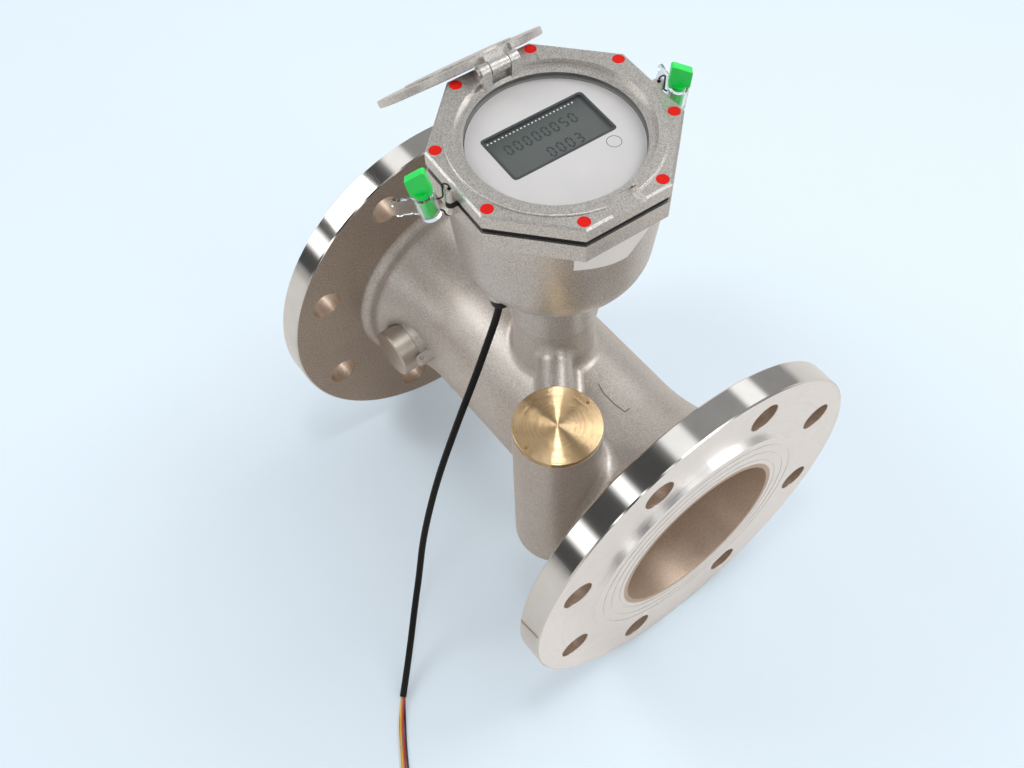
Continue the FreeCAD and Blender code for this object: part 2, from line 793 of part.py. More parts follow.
gland_seat = dim.bowl_bottom_height + dim.gland_sink
gland_turn = Rotation(Z_AXIS, -dim.head_turn.value)
gland_local = gland_turn.multVec(Vector(dim.gland_along.value, -dim.gland_aside.value, 0))
gland_pad = cylinder(dim.gland_diameter / 2 + dim.gland_pad_margin, dim.gland_pad_height,
                     (gland_local.x, gland_local.y, gland_seat))
seat_start = dim.bowl_bottom_height - dim.cut_overrun
housing_cuts.append(cylinder(dim.gland_diameter / 2 + dim.seat_clearance, gland_seat - seat_start,
                             (gland_local.x, gland_local.y, seat_start)))
housing_cuts.append(cylinder(dim.gland_thread_diameter / 2 + dim.running_clearance, dim.gland_hole_length,
                             (gland_local.x, gland_local.y, seat_start)))
rough_housing = fuse(round_bowl, gland_pad, base_flange, *lugs(lug_bottom, dim.lug_depth))
housing = cut(rough_housing, *housing_cuts)
name_part("head_housing", housing, turned=True)

# Cover gasket: black rubber, drilled for the screws, with a tab at each lug.
gasket_plate = fuse(octagon(dim.head_flats - dim.gasket_inset * 2, dim.gasket_thickness, base_top),
                    *lugs(base_top, dim.gasket_thickness))
gasket_cuts = [cylinder(cavity_radius, dim.gasket_thickness, (0, 0, base_top))]
for across, along in screw_places:
    gasket_cuts.append(cylinder(dim.screw_diameter / 2 + dim.seat_clearance, dim.gasket_thickness,
                                (across, along, base_top)))
gasket_cuts += lug_holes(base_top, dim.gasket_thickness)
name_part("cover_gasket", cut(gasket_plate, *gasket_cuts), turned=True)

# Top cover: eight-sided plate with a raised rim round the window, hinge ears, seal lugs and a finger notch.
rim_top = cover_top + dim.rim_height
ledge_height = rim_top - dim.ledge_depth
seat_height = cover_bottom + dim.glass_thickness + dim.window_seal_thickness
rim_outer_radius = half_flats - dim.rim_inset
rim_inner_radius = rim_outer_radius - dim.rim_width
opening_radius = rim_inner_radius - dim.ledge_width
sight_radius = opening_radius - dim.opening_taper
glass_radius = sight_radius + dim.glass_bite
glass_pocket_radius = glass_radius + dim.seat_clearance
knuckle_radius = dim.knuckle_diameter / 2
pin_radius = dim.pin_diameter / 2
pin_reach = rim_outer_radius - dim.pin_inset
pin_height = cover_top + dim.pin_rise

plate = rounded(octagon(dim.head_flats, dim.cover_thickness, cover_bottom), dim.cover_chamfer,
                flat_ring_at(cover_top), kind="Part::Chamfer")
rim_bottom = cover_top - dim.join_overlap
rough_rim = cylinder(rim_outer_radius, rim_top - rim_bottom, (0, 0, rim_bottom))
rim = rounded(rough_rim, dim.rim_height / 2, flat_ring_at(rim_top))
lug_height = dim.cover_thickness - dim.lug_step
opening = revolved("opening", [
    (0, cover_bottom), (glass_pocket_radius, cover_bottom), (glass_pocket_radius, seat_height),
    (sight_radius, seat_height), (opening_radius, ledge_height),
    (rim_inner_radius, ledge_height), (rim_inner_radius, rim_top), (0, rim_top),
])
notch = box(half_flats, dim.notch_width, dim.notch_depth + dim.rim_height + dim.cut_overrun,
            (rim_inner_radius - dim.cut_overrun + half_flats / 2, 0, cover_top - dim.notch_depth))
relief = cylinder(rim_outer_radius + dim.cut_overrun, dim.rim_height + dim.cut_overrun, (0, 0, cover_top),
                  spin=180 - dim.relief_half_angle.value)
bind(relief, "Angle", dim.relief_half_angle * 2)
cover_cuts = [opening, notch, relief]
head_seat = cover_top - dim.cap_thickness - dim.screw_head_height
for across, along in screw_places:
    cover_cuts.append(cylinder(dim.cap_diameter / 2, cover_top - head_seat + dim.cut_overrun,
                               (across, along, head_seat)))
    cover_cuts.append(cylinder(dim.screw_diameter / 2 + dim.seat_clearance, dim.cover_thickness,
                               (across, along, cover_bottom)))
cover_cuts += lug_holes(cover_bottom, lug_height)
bare_cover = cut(fuse(plate, rim, *lugs(cover_bottom, lug_height)), *cover_cuts)
ears = []
ear_foot = ledge_height - dim.ear_sink
for side in (1, -1):
    inner_end = (dim.barrel_length / 2 + dim.side_clearance) * side
    middle = inner_end + dim.ear_length / 2 * side + dim.hinge_offset
    ears.append(box(dim.knuckle_diameter, dim.ear_length, pin_height - ear_foot,
                    (-pin_reach, middle, ear_foot)))
    ears.append(cylinder(knuckle_radius, dim.ear_length,
                         (-pin_reach, middle - dim.ear_length / 2, pin_height), axis=Y_AXIS))
pin_length = dim.barrel_length + (dim.side_clearance + dim.ear_length) * 2
pin_start = dim.hinge_offset - pin_length / 2
ear_bore = cylinder(pin_radius, pin_length, (-pin_reach, pin_start, pin_height), axis=Y_AXIS)
name_part("top_cover", cut(fuse(bare_cover, *ears), ear_bore), turned=True)

# Cover screws under their red tamper caps.
screws = []
caps = []
for across, along in screw_places:
    screw_head = cylinder(dim.screw_head_diameter / 2, dim.screw_head_height, (across, along, head_seat))
    screw_shank = cylinder(dim.screw_diameter / 2, dim.screw_length, (across, along, screw_tip))
    screws.append(fuse(screw_head, screw_shank))
    cap = cylinder(dim.cap_diameter / 2 - dim.running_clearance, dim.cap_thickness,
                   (across, along, cover_top - dim.cap_thickness))
    caps.append(cap)
name_part("cover_screws", group(*screws), turned=True)
name_part("red_caps", group(*caps), turned=True)

# Window glass, its flat seal above and the retaining ring below.
glass_top = cover_bottom + dim.glass_thickness
window_seal = cut(cylinder(glass_radius, dim.window_seal_thickness, (0, 0, glass_top)),
                  cylinder(sight_radius, dim.window_seal_thickness, (0, 0, glass_top)))
name_part("window_seal", window_seal, turned=True)
name_part("window_glass", cylinder(glass_radius, dim.glass_thickness, (0, 0, cover_bottom)), turned=True)
retainer_bottom = cover_bottom - dim.retainer_thickness
retainer_radius = cavity_radius - dim.side_clearance
retainer = cut(cylinder(retainer_radius, dim.retainer_thickness, (0, 0, retainer_bottom)),
               cylinder(sight_radius, dim.retainer_thickness, (0, 0, retainer_bottom)))
name_part("glass_retainer", retainer, turned=True)

# Dial plate with its display window, the display, the circuit board and their carrier.
dial_radius = sight_radius - dim.side_clearance
display_top = dial_bottom - dim.display_drop
dial_window = box(dim.display_width, dim.display_length, dim.dial_thickness,
                  (-dim.display_shift, 0, dial_bottom))
dial = cut(cylinder(dial_radius, dim.dial_thickness, (0, 0, dial_bottom)), dial_window)
name_part("dial_plate", dial, turned=True)
board_bottom = cover_bottom - dim.board_drop
board_top = board_bottom + dim.board_thickness
display = box(dim.display_width + dim.display_frame * 2, dim.display_length + dim.display_frame * 2,
              display_top - board_top, (-dim.display_shift, 0, board_top))
name_part("display_panel", display, turned=True)
board_radius = dial_radius - dim.board_inset
name_part("circuit_board", cylinder(board_radius, dim.board_thickness, (0, 0, board_bottom)), turned=True)
carrier_floor = carrier_bottom + dim.carrier_wall
shell_radius = dial_radius - dim.carrier_wall
well_radius = board_radius - dim.carrier_wall
carrier_shell = cut(cylinder(dial_radius, dial_bottom - carrier_bottom, (0, 0, carrier_bottom)),
                    cylinder(shell_radius, dial_bottom - board_bottom, (0, 0, board_bottom)),
                    cylinder(well_radius, dial_bottom - carrier_floor, (0, 0, carrier_floor)))
cell_radius = dim.cell_diameter / 2
cradle_radius = cell_radius + dim.cradle_wall
cradle_start = (dim.cradle_length / -2, 0, cell_height)
cradle = cut(fuse(cylinder(cradle_radius, dim.cradle_length, cradle_start, axis=X_AXIS),
                  box(dim.cradle_length, cradle_radius * 2, dim.carrier_rise, (0, 0, cell_height))),
             cylinder(cell_radius + dim.running_clearance, dim.cradle_length, cradle_start, axis=X_AXIS),
             box(dim.cradle_length, cradle_radius * 2, cradle_radius,
                 (0, 0, cell_height - dim.cradle_grip - cradle_radius)))
leg_middle = cradle_radius + dim.leg_thickness / 2 - dim.cradle_wall / 2
legs = [box(dim.leg_width, dim.leg_thickness, dim.cell_rise, (0, leg_middle * side, cavity_floor))
        for side in (1, -1)]
name_part("electronics_carrier", fuse(carrier_shell, cradle, *legs), turned=True)
cell = cylinder(cell_radius, dim.cell_length, (dim.cell_length / -2, 0, cell_height), axis=X_AXIS)
name_part("lithium_cell", cell, turned=True)

# Lid, drawn closed about its hinge pin and then swung open on it.
lid_bottom = ledge_height + dim.seat_clearance - pin_height
lid_top = lid_bottom + dim.lid_thickness
lid_radius = rim_inner_radius - dim.lid_gap
disc = rounded(cylinder(lid_radius, dim.lid_thickness, (pin_reach, 0, lid_bottom)), dim.lid_round,
               flat_ring_at(lid_top))
panel = cylinder(lid_radius - dim.lid_panel_inset, dim.lid_panel_depth,
                 (pin_reach, 0, lid_bottom - dim.lid_panel_depth))
hinge_half = pin_length / 2 + dim.side_clearance
notch_edge = knuckle_radius + dim.lid_notch_gap
lid_notch = box(lid_radius, hinge_half * 2, dim.lid_thickness, (notch_edge - lid_radius / 2, 0, lid_bottom))
lid_plate = cut(fuse(disc, panel), lid_notch)
barrel_start = (0, dim.barrel_length / -2, 0)
barrel = cylinder(knuckle_radius, dim.barrel_length, barrel_start, axis=Y_AXIS)
tongue_bottom = lid_bottom + dim.tongue_inset
tongue_top = lid_top - dim.tongue_inset
tongue_end = notch_edge + dim.tongue_lap
tongue = padded("tongue", [
    (0, tongue_bottom), (tongue_end, tongue_bottom), (tongue_end, tongue_top), (notch_edge, tongue_top),
    (0, 0),
], dim.barrel_length)
barrel_bore = cylinder(pin_radius + dim.running_clearance, dim.barrel_length, barrel_start, axis=Y_AXIS)
lid = name_part("lid", cut(fuse(lid_plate, tongue, barrel), barrel_bore))
head_turning = Rotation(Z_AXIS, dim.head_turn.value)
hinge_point = Vector(-pin_reach.value, dim.hinge_offset.value, pin_height.value)
hinge_place = head_turning.multVec(hinge_point)
lid.Placement = Placement(hinge_place, head_turning.multiply(Rotation(Y_AXIS, -dim.lid_open_angle.value)))

# Hinge pin, pressed into the ears, with a flat head at one end.
pin_shank = cylinder(pin_radius, pin_length, (-pin_reach, pin_start, pin_height), axis=Y_AXIS)
pin_head = cylinder(dim.pin_head_diameter / 2, dim.pin_head_length,
                    (-pin_reach, pin_start - dim.pin_head_length, pin_height), axis=Y_AXIS)
name_part("hinge_pin", fuse(pin_shank, pin_head), turned=True)

# Twist seals: a clear body hung on a wire through each lug, and a green rotor that winds the wire.
# Each hangs at its own place from the lug, leans by some degrees to a heading, and has its tag to one side.
seals = {
    "left": types.SimpleNamespace(side=-1, away=Vector(-7.3, -6.2, -3.2), lean=12, heading=-88, tag_turn=180),
    "right": types.SimpleNamespace(side=1, away=Vector(2.4, 10, -3.2), lean=14, heading=-38, tag_turn=120),
}
body_radius = dim.seal_body_diameter / 2
rotor_radius = dim.rotor_diameter / 2
drum_bottom = dim.seal_floor + dim.side_clearance
wing_bottom = dim.seal_body_height + dim.side_clearance
wing_top = wing_bottom + dim.wing_height


def wing_corner(edge):
    """The short edges through the thickness of a wing."""
    bounds = edge.BoundBox
    through = abs(bounds.YLength - dim.wing_thickness.value) < TOUCHING
    return through and max(bounds.XLength, bounds.ZLength) < TOUCHING


def hung(shape, seal):
    """Move a piece drawn about the upright axis of a seal to where that seal hangs."""
    moved = group(shape)
    moved.Placement = seal.place
    return moved


for name, seal in seals.items():
    lug_point = Vector(dim.lug_along.value, lug_reach.value * seal.side, lug_bottom.value)
    seal.lug = head_turning.multVec(lug_point)
    lean_axis = Rotation(Z_AXIS, seal.heading).multVec(Y_AXIS)
    turn = Rotation(lean_axis, seal.lean).multiply(Rotation(Z_AXIS, dim.seal_heading.value))
    seal.place = Placement(seal.lug + seal.away, turn)
    tag_middle = body_radius + dim.tag_radius - dim.cut_overrun
    tag_back = dim.tag_thickness / -2
    tag_discs = [cylinder(dim.tag_radius, dim.tag_thickness, (tag_middle, tag_back, dim.tag_rise),
                          axis=Y_AXIS)]
    for aside, up in around(dim.tag_lobe_count, dim.tag_first_lobe.value, dim.tag_lobe_reach):
        tag_discs.append(cylinder(dim.tag_lobe_radius, dim.tag_thickness,
                                  (tag_middle + aside, tag_back, dim.tag_rise + up), axis=Y_AXIS))
    tag = group(fuse(*tag_discs))
    tag.Placement = Placement(Vector(), Rotation(Z_AXIS, seal.tag_turn))
    clear_body = fuse(cylinder(body_radius, dim.seal_body_height), tag)
    bore = cylinder(dim.seal_bore_diameter / 2, dim.seal_body_height, (0, 0, dim.seal_floor))
    name_part(f"seal_body_{name}", hung(cut(clear_body, bore), seal))
    drum = cylinder(rotor_radius, wing_bottom - drum_bottom + dim.join_overlap, (0, 0, drum_bottom))
    low = dim.wing_width / 2 * seal.side
    wing = padded(f"wing_{name}", [
        (low, wing_bottom), (-low, wing_bottom), (-low, wing_top), (low, wing_top - dim.wing_slant),
    ], dim.wing_thickness)
    round_wing = rounded(wing, dim.wing_round, wing_corner)
    name_part(f"seal_rotor_{name}", hung(fuse(drum, round_wing), seal))


def swept_tube(points, radius, smallest=None):
    """A round tube along straight runs joined by tangent arcs, each as large as its two runs allow."""
    corners = [Vector(*point) for point in points]
    edges = []
    radii = []
    here = corners[0]
    for before, corner, after in zip(corners, corners[1:], corners[2:]):
        back = (before - corner).normalize()
        ahead = (after - corner).normalize()
        half_turn = (math.pi - back.getAngle(ahead)) / 2
        reach = BEND_SHARE * min(before.distanceToPoint(corner), after.distanceToPoint(corner))
        if smallest is not None:
            reach = min(reach, smallest * math.tan(half_turn))
        radii.append(reach / math.tan(half_turn))
        entry = corner + back * reach
        leave = corner + ahead * reach
        bisector = (back + ahead).normalize()
        middle = corner + bisector * (radii[-1] / math.cos(half_turn) - radii[-1])
        edges.append(Part.LineSegment(here, entry).toShape())
        edges.append(Part.Arc(entry, middle, leave).toShape())
        here = leave
    edges.append(Part.LineSegment(here, corners[-1]).toShape())
    path = Part.Wire(edges)
    heading = (corners[1] - corners[0]).normalize()
    section = Part.Wire(Part.Circle(corners[0], heading, radius).toShape())
    tube = path.makePipeShell([section], True, True)
    return tube, radii, path.Length


def add_cord(label, points, diameter, smallest=None):
    tube, radii, length = swept_tube(points, diameter.value / 2, smallest)
    print(f"{label}: length {length:.1f}, smallest bend {min(radii):.1f}")
    made = doc.addObject("Part::Feature", label)
    made.Shape = tube
    return name_part(label, made)


# Seal wires: each runs from its clear body up over the lug, down through the lug's hole and back.
for name, seal in seals.items():
    outward = Vector(seal.away.x, seal.away.y, 0).normalize()
    beside = seal.lug + outward * (dim.lug_radius.value + dim.wire_gap.value + dim.wire_diameter.value / 2)
    ends = []
    for rise in (dim.wire_upper, dim.wire_lower):
        middle = seal.place.multVec(Vector(0, 0, rise.value))
        towards = Vector(beside.x - middle.x, beside.y - middle.y, 0).normalize()
        ends.append(middle + towards * body_radius.value)
    upper, lower = ends
    over = cover_bottom.value + lug_height.value + dim.wire_rise.value
    under = lug_bottom.value - dim.wire_rise.value
    drop = dim.wire_drop.value
    loop = [(upper, upper.z), (beside, upper.z + drop), (beside, over), (seal.lug, over), (seal.lug, under),
            (beside, under), (beside, lower.z - drop), (lower, lower.z)]
    add_cord(f"seal_wire_{name}", [(spot.x, spot.y, height) for spot, height in loop], dim.wire_diameter,
             dim.wire_bend_radius.value)

# Cable gland, screwed into a flat pad under the bowl.
gland_at = (dim.gland_along, -dim.gland_aside)
gland_end = gland_seat - dim.gland_length
gland_nut = cylinder(dim.gland_diameter / 2, dim.gland_length, (*gland_at, gland_end))
gland_thread = cylinder(dim.gland_thread_diameter / 2, dim.gland_thread_length, (*gland_at, gland_seat))
gland_mouth = cylinder(dim.gland_mouth_diameter / 2, dim.gland_mouth_depth, (*gland_at, gland_end))
name_part("cable_gland", cut(fuse(gland_nut, gland_thread), gland_mouth))

# Output cable: it drops from the gland beside the tube to the floor, where four cores leave its end.
cable_route = [
    (2.1, -36.2, 114.9), (2.0, -37.6, 105.2), (2.6, -44.5, 89.6), (4.7, -57.1, 65.5), (7.7, -73.0, 39.4),
    (10.9, -92.6, 1.3), (16.3, -109.9, -38.8), (23.2, -120.4, -64.9), (31.3, -131.7, -83.9),
    (46.7, -148.3, -100.2), (64.1, -165.9, -106.6),
]
add_cord("cable_jacket", cable_route, dim.cable_diameter)

core_routes = {
    "white": [(63.56, -166.34, -107.28), (71.3, -175.28, -108.3), (83.8, -184.48, -108.35),
              (95.8, -192.78, -108.35), (105.8, -201.88, -108.35)],
    "yellow": [(63.8, -166.58, -106.03), (72.8, -174.28, -106.9), (85.4, -182.88, -108.35),
               (97.8, -190.68, -108.35), (108.8, -198.88, -108.35)],
    "red": [(64.8, -165.58, -106.03), (74.2, -173.08, -106.9), (86.8, -180.68, -108.35),
            (99.8, -187.68, -108.35), (111.8, -194.48, -108.35)],
    "black": [(64.6, -165.38, -107.3), (75.4, -171.28, -108.3), (88.2, -178.68, -108.35),
              (101.2, -184.48, -108.35), (113.8, -189.28, -108.35)],
}
for colour, route in core_routes.items():
    add_cord(f"core_{colour}", route, dim.core_diameter)

doc.recompute()
for thing in doc.Objects:
    if "Invalid" in thing.State or "Error" in thing.State:
        raise RuntimeError(f"{thing.Name} ({thing.Label}) failed: {thing.State}")
os.makedirs("parts", exist_ok=True)
for part in sub_parts:
    shape = part.Shape
    if shape.isNull() or not shape.isValid() or not shape.Solids:
        raise RuntimeError(f"{part.Label} has no valid solid")
for part in sub_parts:
    part.Shape.exportStep(f"parts/{part.Label}.step")
    print(part.Label, len(part.Shape.Solids), round(part.Shape.Volume))
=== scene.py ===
import math

import bmesh
import bpy
from mathutils import Matrix, Quaternion, Vector


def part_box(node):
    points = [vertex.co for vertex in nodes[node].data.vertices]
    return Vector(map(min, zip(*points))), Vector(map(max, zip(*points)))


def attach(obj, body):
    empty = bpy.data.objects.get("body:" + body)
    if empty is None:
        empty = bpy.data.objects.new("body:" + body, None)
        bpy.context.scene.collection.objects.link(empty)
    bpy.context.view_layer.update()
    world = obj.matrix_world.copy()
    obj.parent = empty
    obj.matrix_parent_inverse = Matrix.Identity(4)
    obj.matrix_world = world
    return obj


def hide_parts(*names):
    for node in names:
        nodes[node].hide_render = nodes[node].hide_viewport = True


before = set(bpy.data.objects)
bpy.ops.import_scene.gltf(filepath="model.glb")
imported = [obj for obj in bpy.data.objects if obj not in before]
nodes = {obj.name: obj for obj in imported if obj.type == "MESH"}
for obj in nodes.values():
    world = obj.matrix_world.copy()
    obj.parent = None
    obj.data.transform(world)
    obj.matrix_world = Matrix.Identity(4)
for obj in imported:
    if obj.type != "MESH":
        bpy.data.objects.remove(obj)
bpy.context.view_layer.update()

# The set: a seamless pale blue sheet that the meter stands on, long soft strips overhead along the
# tube in a dim room, soft lamps, and a camera above the front flange that looks down to the head.
SHEET_SIZE = 8.0
GLOW_NEAR, GLOW_GAIN, GLOW_MIRRORED = 0.05, 0.80, 0.15
GLOW_RISE = (0.20, 1.00)
ROOM_LEVEL, ROOM_DROP = 0.34, 0.26
ROOM_DROP_BETWEEN = (math.radians(90), math.radians(100))
# Each strip: its heading over the tube and its half width in degrees, and its level.
STRIPS = ((33, 8, 1.3), (85, 8, 1.2), (124, 4, 2.0), (160, 6, 2.0))
STRIP_BLUR = 3
# Each lamp: its name, place, aim, size and power.
LAMPS = (
    ("key_light", (0.20, 1.15, 1.45), (0, 0, 0.05), 0.9, 12),
    ("top_light", (0.10, -0.07, 1.70), (0, 0, 0.05), 0.20, 3),
    ("front_light", (1.45, 0.45, 0.85), (0.1, 0, 0), 0.6, 3),
    ("left_light", (-1.1, -0.9, 1.2), (0, 0, 0.05), 0.8, 8.5),
)
CAMERA_AT = Vector((0.28961, -0.23752, 0.57808))
CAMERA_AIM = Vector((0.01669, -0.04181, 0.06))
CAMERA_ROLL = math.radians(-2.530)
CAMERA_LENS = 41.061
CAMERA_SENSOR = 36


def shade(red, green, blue):
    """A colour as it shows on a screen, from 0 to 255, as the linear one that shaders use."""
    def linear(level):
        level /= 255
        return level / 12.92 if level <= 0.04045 else ((level + 0.055) / 1.055) ** 2.4
    return (linear(red), linear(green), linear(blue), 1.0)


class Value:
    """One socket of a shader tree. Arithmetic on it adds Math nodes to the same tree."""

    def __init__(self, tree, socket=None):
        self.tree = tree
        self.socket = socket

    def node(self, kind, settings=None, inputs=None, output=0):
        """Add a node of any other kind: its settings first, then its sockets' values or links."""
        made = self.tree.nodes.new("ShaderNode" + kind)
        for name, setting in (settings or {}).items():
            setattr(made, name, setting)
        for name, given in (inputs or {}).items():
            if isinstance(given, Value):
                self.tree.links.new(given.socket, made.inputs[name])
            else:
                made.inputs[name].default_value = given
        return Value(self.tree, made.outputs[output] if made.outputs else None)

    def math(self, operation, *terms):
        return self.node("Math", {"operation": operation}, dict(enumerate(terms)))

    def __add__(self, other):
        return self.math("ADD", self, other)

    def __sub__(self, other):
        return self.math("SUBTRACT", self, other)

    def __rsub__(self, other):
        return self.math("SUBTRACT", other, self)

    def __mul__(self, other):
        return self.math("MULTIPLY", self, other)

    def __truediv__(self, other):
        return self.math("DIVIDE", self, other)

    def __pow__(self, other):
        return self.math("POWER", self, other)

    def __abs__(self):
        return self.math("ABSOLUTE", self)

    __radd__ = __add__
    __rmul__ = __mul__


def colour_mix(factor, first, second):
    """A colour that goes from the first to the second as the factor goes from 0 to 1."""
    return factor.node("Mix", {"data_type": "RGBA"}, {0: factor, 6: first, 7: second}, 2)


def rise(value, low, high):
    """0 below the low end, 1 above the high end, and a smooth rise between."""
    inputs = {"Value": value, "From Min": low, "From Max": high}
    return value.node("MapRange", {"interpolation_type": "SMOOTHSTEP"}, inputs)


def ways_of_seeing(tree):
    """1 for rays that see the set directly or through glass, and 1 for those and reflections."""
    start = Value(tree)
    seen = start.node("LightPath", output="Is Camera Ray")
    mirrored = start.node("LightPath", output="Is Glossy Ray")
    through = start.node("LightPath", output="Is Transmission Ray")
    scattered = start.node("LightPath", output="Diffuse Depth")
    clear = through * (1 - scattered.math("MINIMUM", scattered, 1.0))
    direct = seen.math("MAXIMUM", seen, clear)
    return direct, seen.math("MAXIMUM", direct, mirrored)


PALE_BLUE = shade(229, 243, 254)
STUDIO_WHITE = (1.0, 0.99, 0.98, 1)
WARM_WHITE = shade(226, 223, 220)

scene = bpy.context.scene
scene.view_settings.view_transform = "Standard"

world = bpy.data.worlds.new("studio")
world.use_nodes = True
world.node_tree.nodes.clear()
scene.world = world
direct, showing = ways_of_seeing(world.node_tree)
direction = showing.node("TexCoord", output="Generated")
aside = showing.node("SeparateXYZ", inputs={0: direction}, output="Y")
height = showing.node("SeparateXYZ", inputs={0: direction}, output="Z")
turn = height.math("ARCTAN2", height, aside)
lightness = ROOM_LEVEL - ROOM_DROP * rise(turn, *ROOM_DROP_BETWEEN)
for middle, half_width, level in STRIPS:
    off_middle = abs(turn - math.radians(middle))
    inner_edge = math.radians(half_width - STRIP_BLUR)
    outer_edge = math.radians(half_width + STRIP_BLUR)
    strip = 1 - rise(off_middle, inner_edge, outer_edge)
    lightness = lightness.math("MAXIMUM", lightness, strip * level)
sky = showing.node("Background", inputs={"Color": STUDIO_WHITE, "Strength": lightness})
backdrop = showing.node("Background", inputs={"Color": PALE_BLUE, "Strength": 1.0})
studio = showing.node("MixShader", inputs={0: direct, 1: sky, 2: backdrop})
showing.node("OutputWorld", inputs={"Surface": studio})

sheet_mesh = bpy.data.meshes.new("sheet")
half = SHEET_SIZE / 2
floor_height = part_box("flow_tube")[0].z
sheet_corners = [(across * half, along * half, floor_height)
                 for across, along in ((-1, -1), (1, -1), (1, 1), (-1, 1))]
sheet_mesh.from_pydata(sheet_corners, [], [(0, 1, 2, 3)])
sheet = bpy.data.objects.new("sheet", sheet_mesh)
scene.collection.objects.link(sheet)
sheet_finish = bpy.data.materials.new("pale_sheet")
sheet_finish.use_nodes = True
sheet_finish.node_tree.nodes.clear()
direct, showing = ways_of_seeing(sheet_finish.node_tree)
paper_colour = colour_mix(direct, WARM_WHITE, PALE_BLUE)
lit = showing.node("BsdfDiffuse", inputs={"Color": paper_colour})
glowing = showing.node("Emission", inputs={"Color": paper_colour, "Strength": 1.0})
spot = showing.node("TexCoord", output="Object")
apart = showing.node("VectorMath", {"operation": "LENGTH"}, {0: spot}, "Value")
glow = direct * (GLOW_NEAR + GLOW_GAIN * rise(apart, *GLOW_RISE)) + showing * GLOW_MIRRORED
paper = showing.node("MixShader", inputs={0: glow, 1: lit, 2: glowing})
showing.node("OutputMaterial", inputs={"Surface": paper})
sheet_mesh.materials.append(sheet_finish)


def lamp(name, place, aim, size, power):
    """A square soft box that faces a point on the meter."""
    light = bpy.data.lights.new(name, "AREA")
    light.shape = "SQUARE"
    light.size = size
    light.energy = power
    holder = bpy.data.objects.new(name, light)
    holder.location = place
    holder.rotation_mode = "QUATERNION"
    holder.rotation_quaternion = (Vector(aim) - Vector(place)).to_track_quat("-Z", "Y")
    scene.collection.objects.link(holder)


for lamp_values in LAMPS:
    lamp(*lamp_values)

camera = bpy.data.objects.new("camera", bpy.data.cameras.new("camera"))
camera.data.sensor_width = CAMERA_SENSOR
camera.data.lens = CAMERA_LENS
camera.location = CAMERA_AT
camera.rotation_mode = "QUATERNION"
level_aim = (CAMERA_AIM - CAMERA_AT).to_track_quat("-Z", "Y")
camera.rotation_quaternion = level_aim @ Quaternion((0, 0, 1), CAMERA_ROLL)
scene.collection.objects.link(camera)
scene.camera = camera

# The flow tube: one stainless casting, blasted all over, then turned bright on the flange rims and
# the sealing faces. The bore and the bolt holes keep a warmer, duller skin.
RAISED_FACE, FLANGE_THICKNESS = 0.0025, 0.0152
FLANGE_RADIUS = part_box("flow_tube")[1].y
FLANGE_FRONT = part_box("flow_tube")[1].x - RAISED_FACE
FLANGE_BACK = FLANGE_FRONT - FLANGE_THICKNESS
BORE_RADIUS = 0.040
BORE_END = 0.075
MOUTH_TAPER = 0.2
HOLE_INNER, HOLE_OUTER = 0.0805, 0.0995
SCRATCH = ((0.0385, 0.0001), (0.0447, -0.0016), (0.0539, -0.0015), (0.0612, -0.0006),
           (0.0611, 0.0027))
SCRATCH_WIDTH = 0.00045
SCRATCH_ABOVE = (0.030, 0.032)
BLASTED_METAL = 0.6
BLAST_DEPTH = 0.00009
FACE_LINE_PITCH, RIM_LINE_PITCH = 0.00045, 0.00040


def begin(name):
    """Start a material and give the surface's own coordinates in it."""
    material = bpy.data.materials.new(name)
    material.use_nodes = True
    material.node_tree.nodes.clear()
    place = Value(material.node_tree).node("TexCoord", output="Object")
    return material, place


def split(place):
    """The three coordinates of a vector."""
    return [place.node("SeparateXYZ", inputs={0: place}, output=axis) for axis in "XYZ"]


def mottle(place, scale, detail=2.0, roughness=0.5):
    """A soft random field from 0 to 1, in lumps of about one part in scale of a metre."""
    inputs = {"Vector": place, "Scale": scale, "Detail": detail, "Roughness": roughness}
    return place.node("TexNoise", inputs=inputs)


def lines_across(value, pitch):
    """Turning marks: a random height for each tool line, with a pitch from line to line."""
    along = value.node("CombineXYZ", inputs={0: value / pitch})
    return value.node("TexNoise", inputs={"Vector": along, "Scale": 1.0, "Detail": 1.0})


def relief(height, depth):
    """A surface normal from a height field that is 0 to 1 and a depth in metres."""
    inputs = {"Height": height, "Distance": depth, "Strength": 1.0}
    return height.node("Bump", inputs=inputs, output="Normal")


def principled(place, **sockets):
    """The main shader, with its sockets named in words joined by underscores."""
    named = {word.replace("_", " "): given for word, given in sockets.items()}
    return place.node("BsdfPrincipled", inputs=named)


def end(place, shader):
    """Close a material with its shader."""
    place.node("OutputMaterial", inputs={"Surface": shader})


def dress(material, *names):
    """Give CAD nodes a finish."""
    for name in names:
        for slot in nodes[name].material_slots:
            slot.material = material


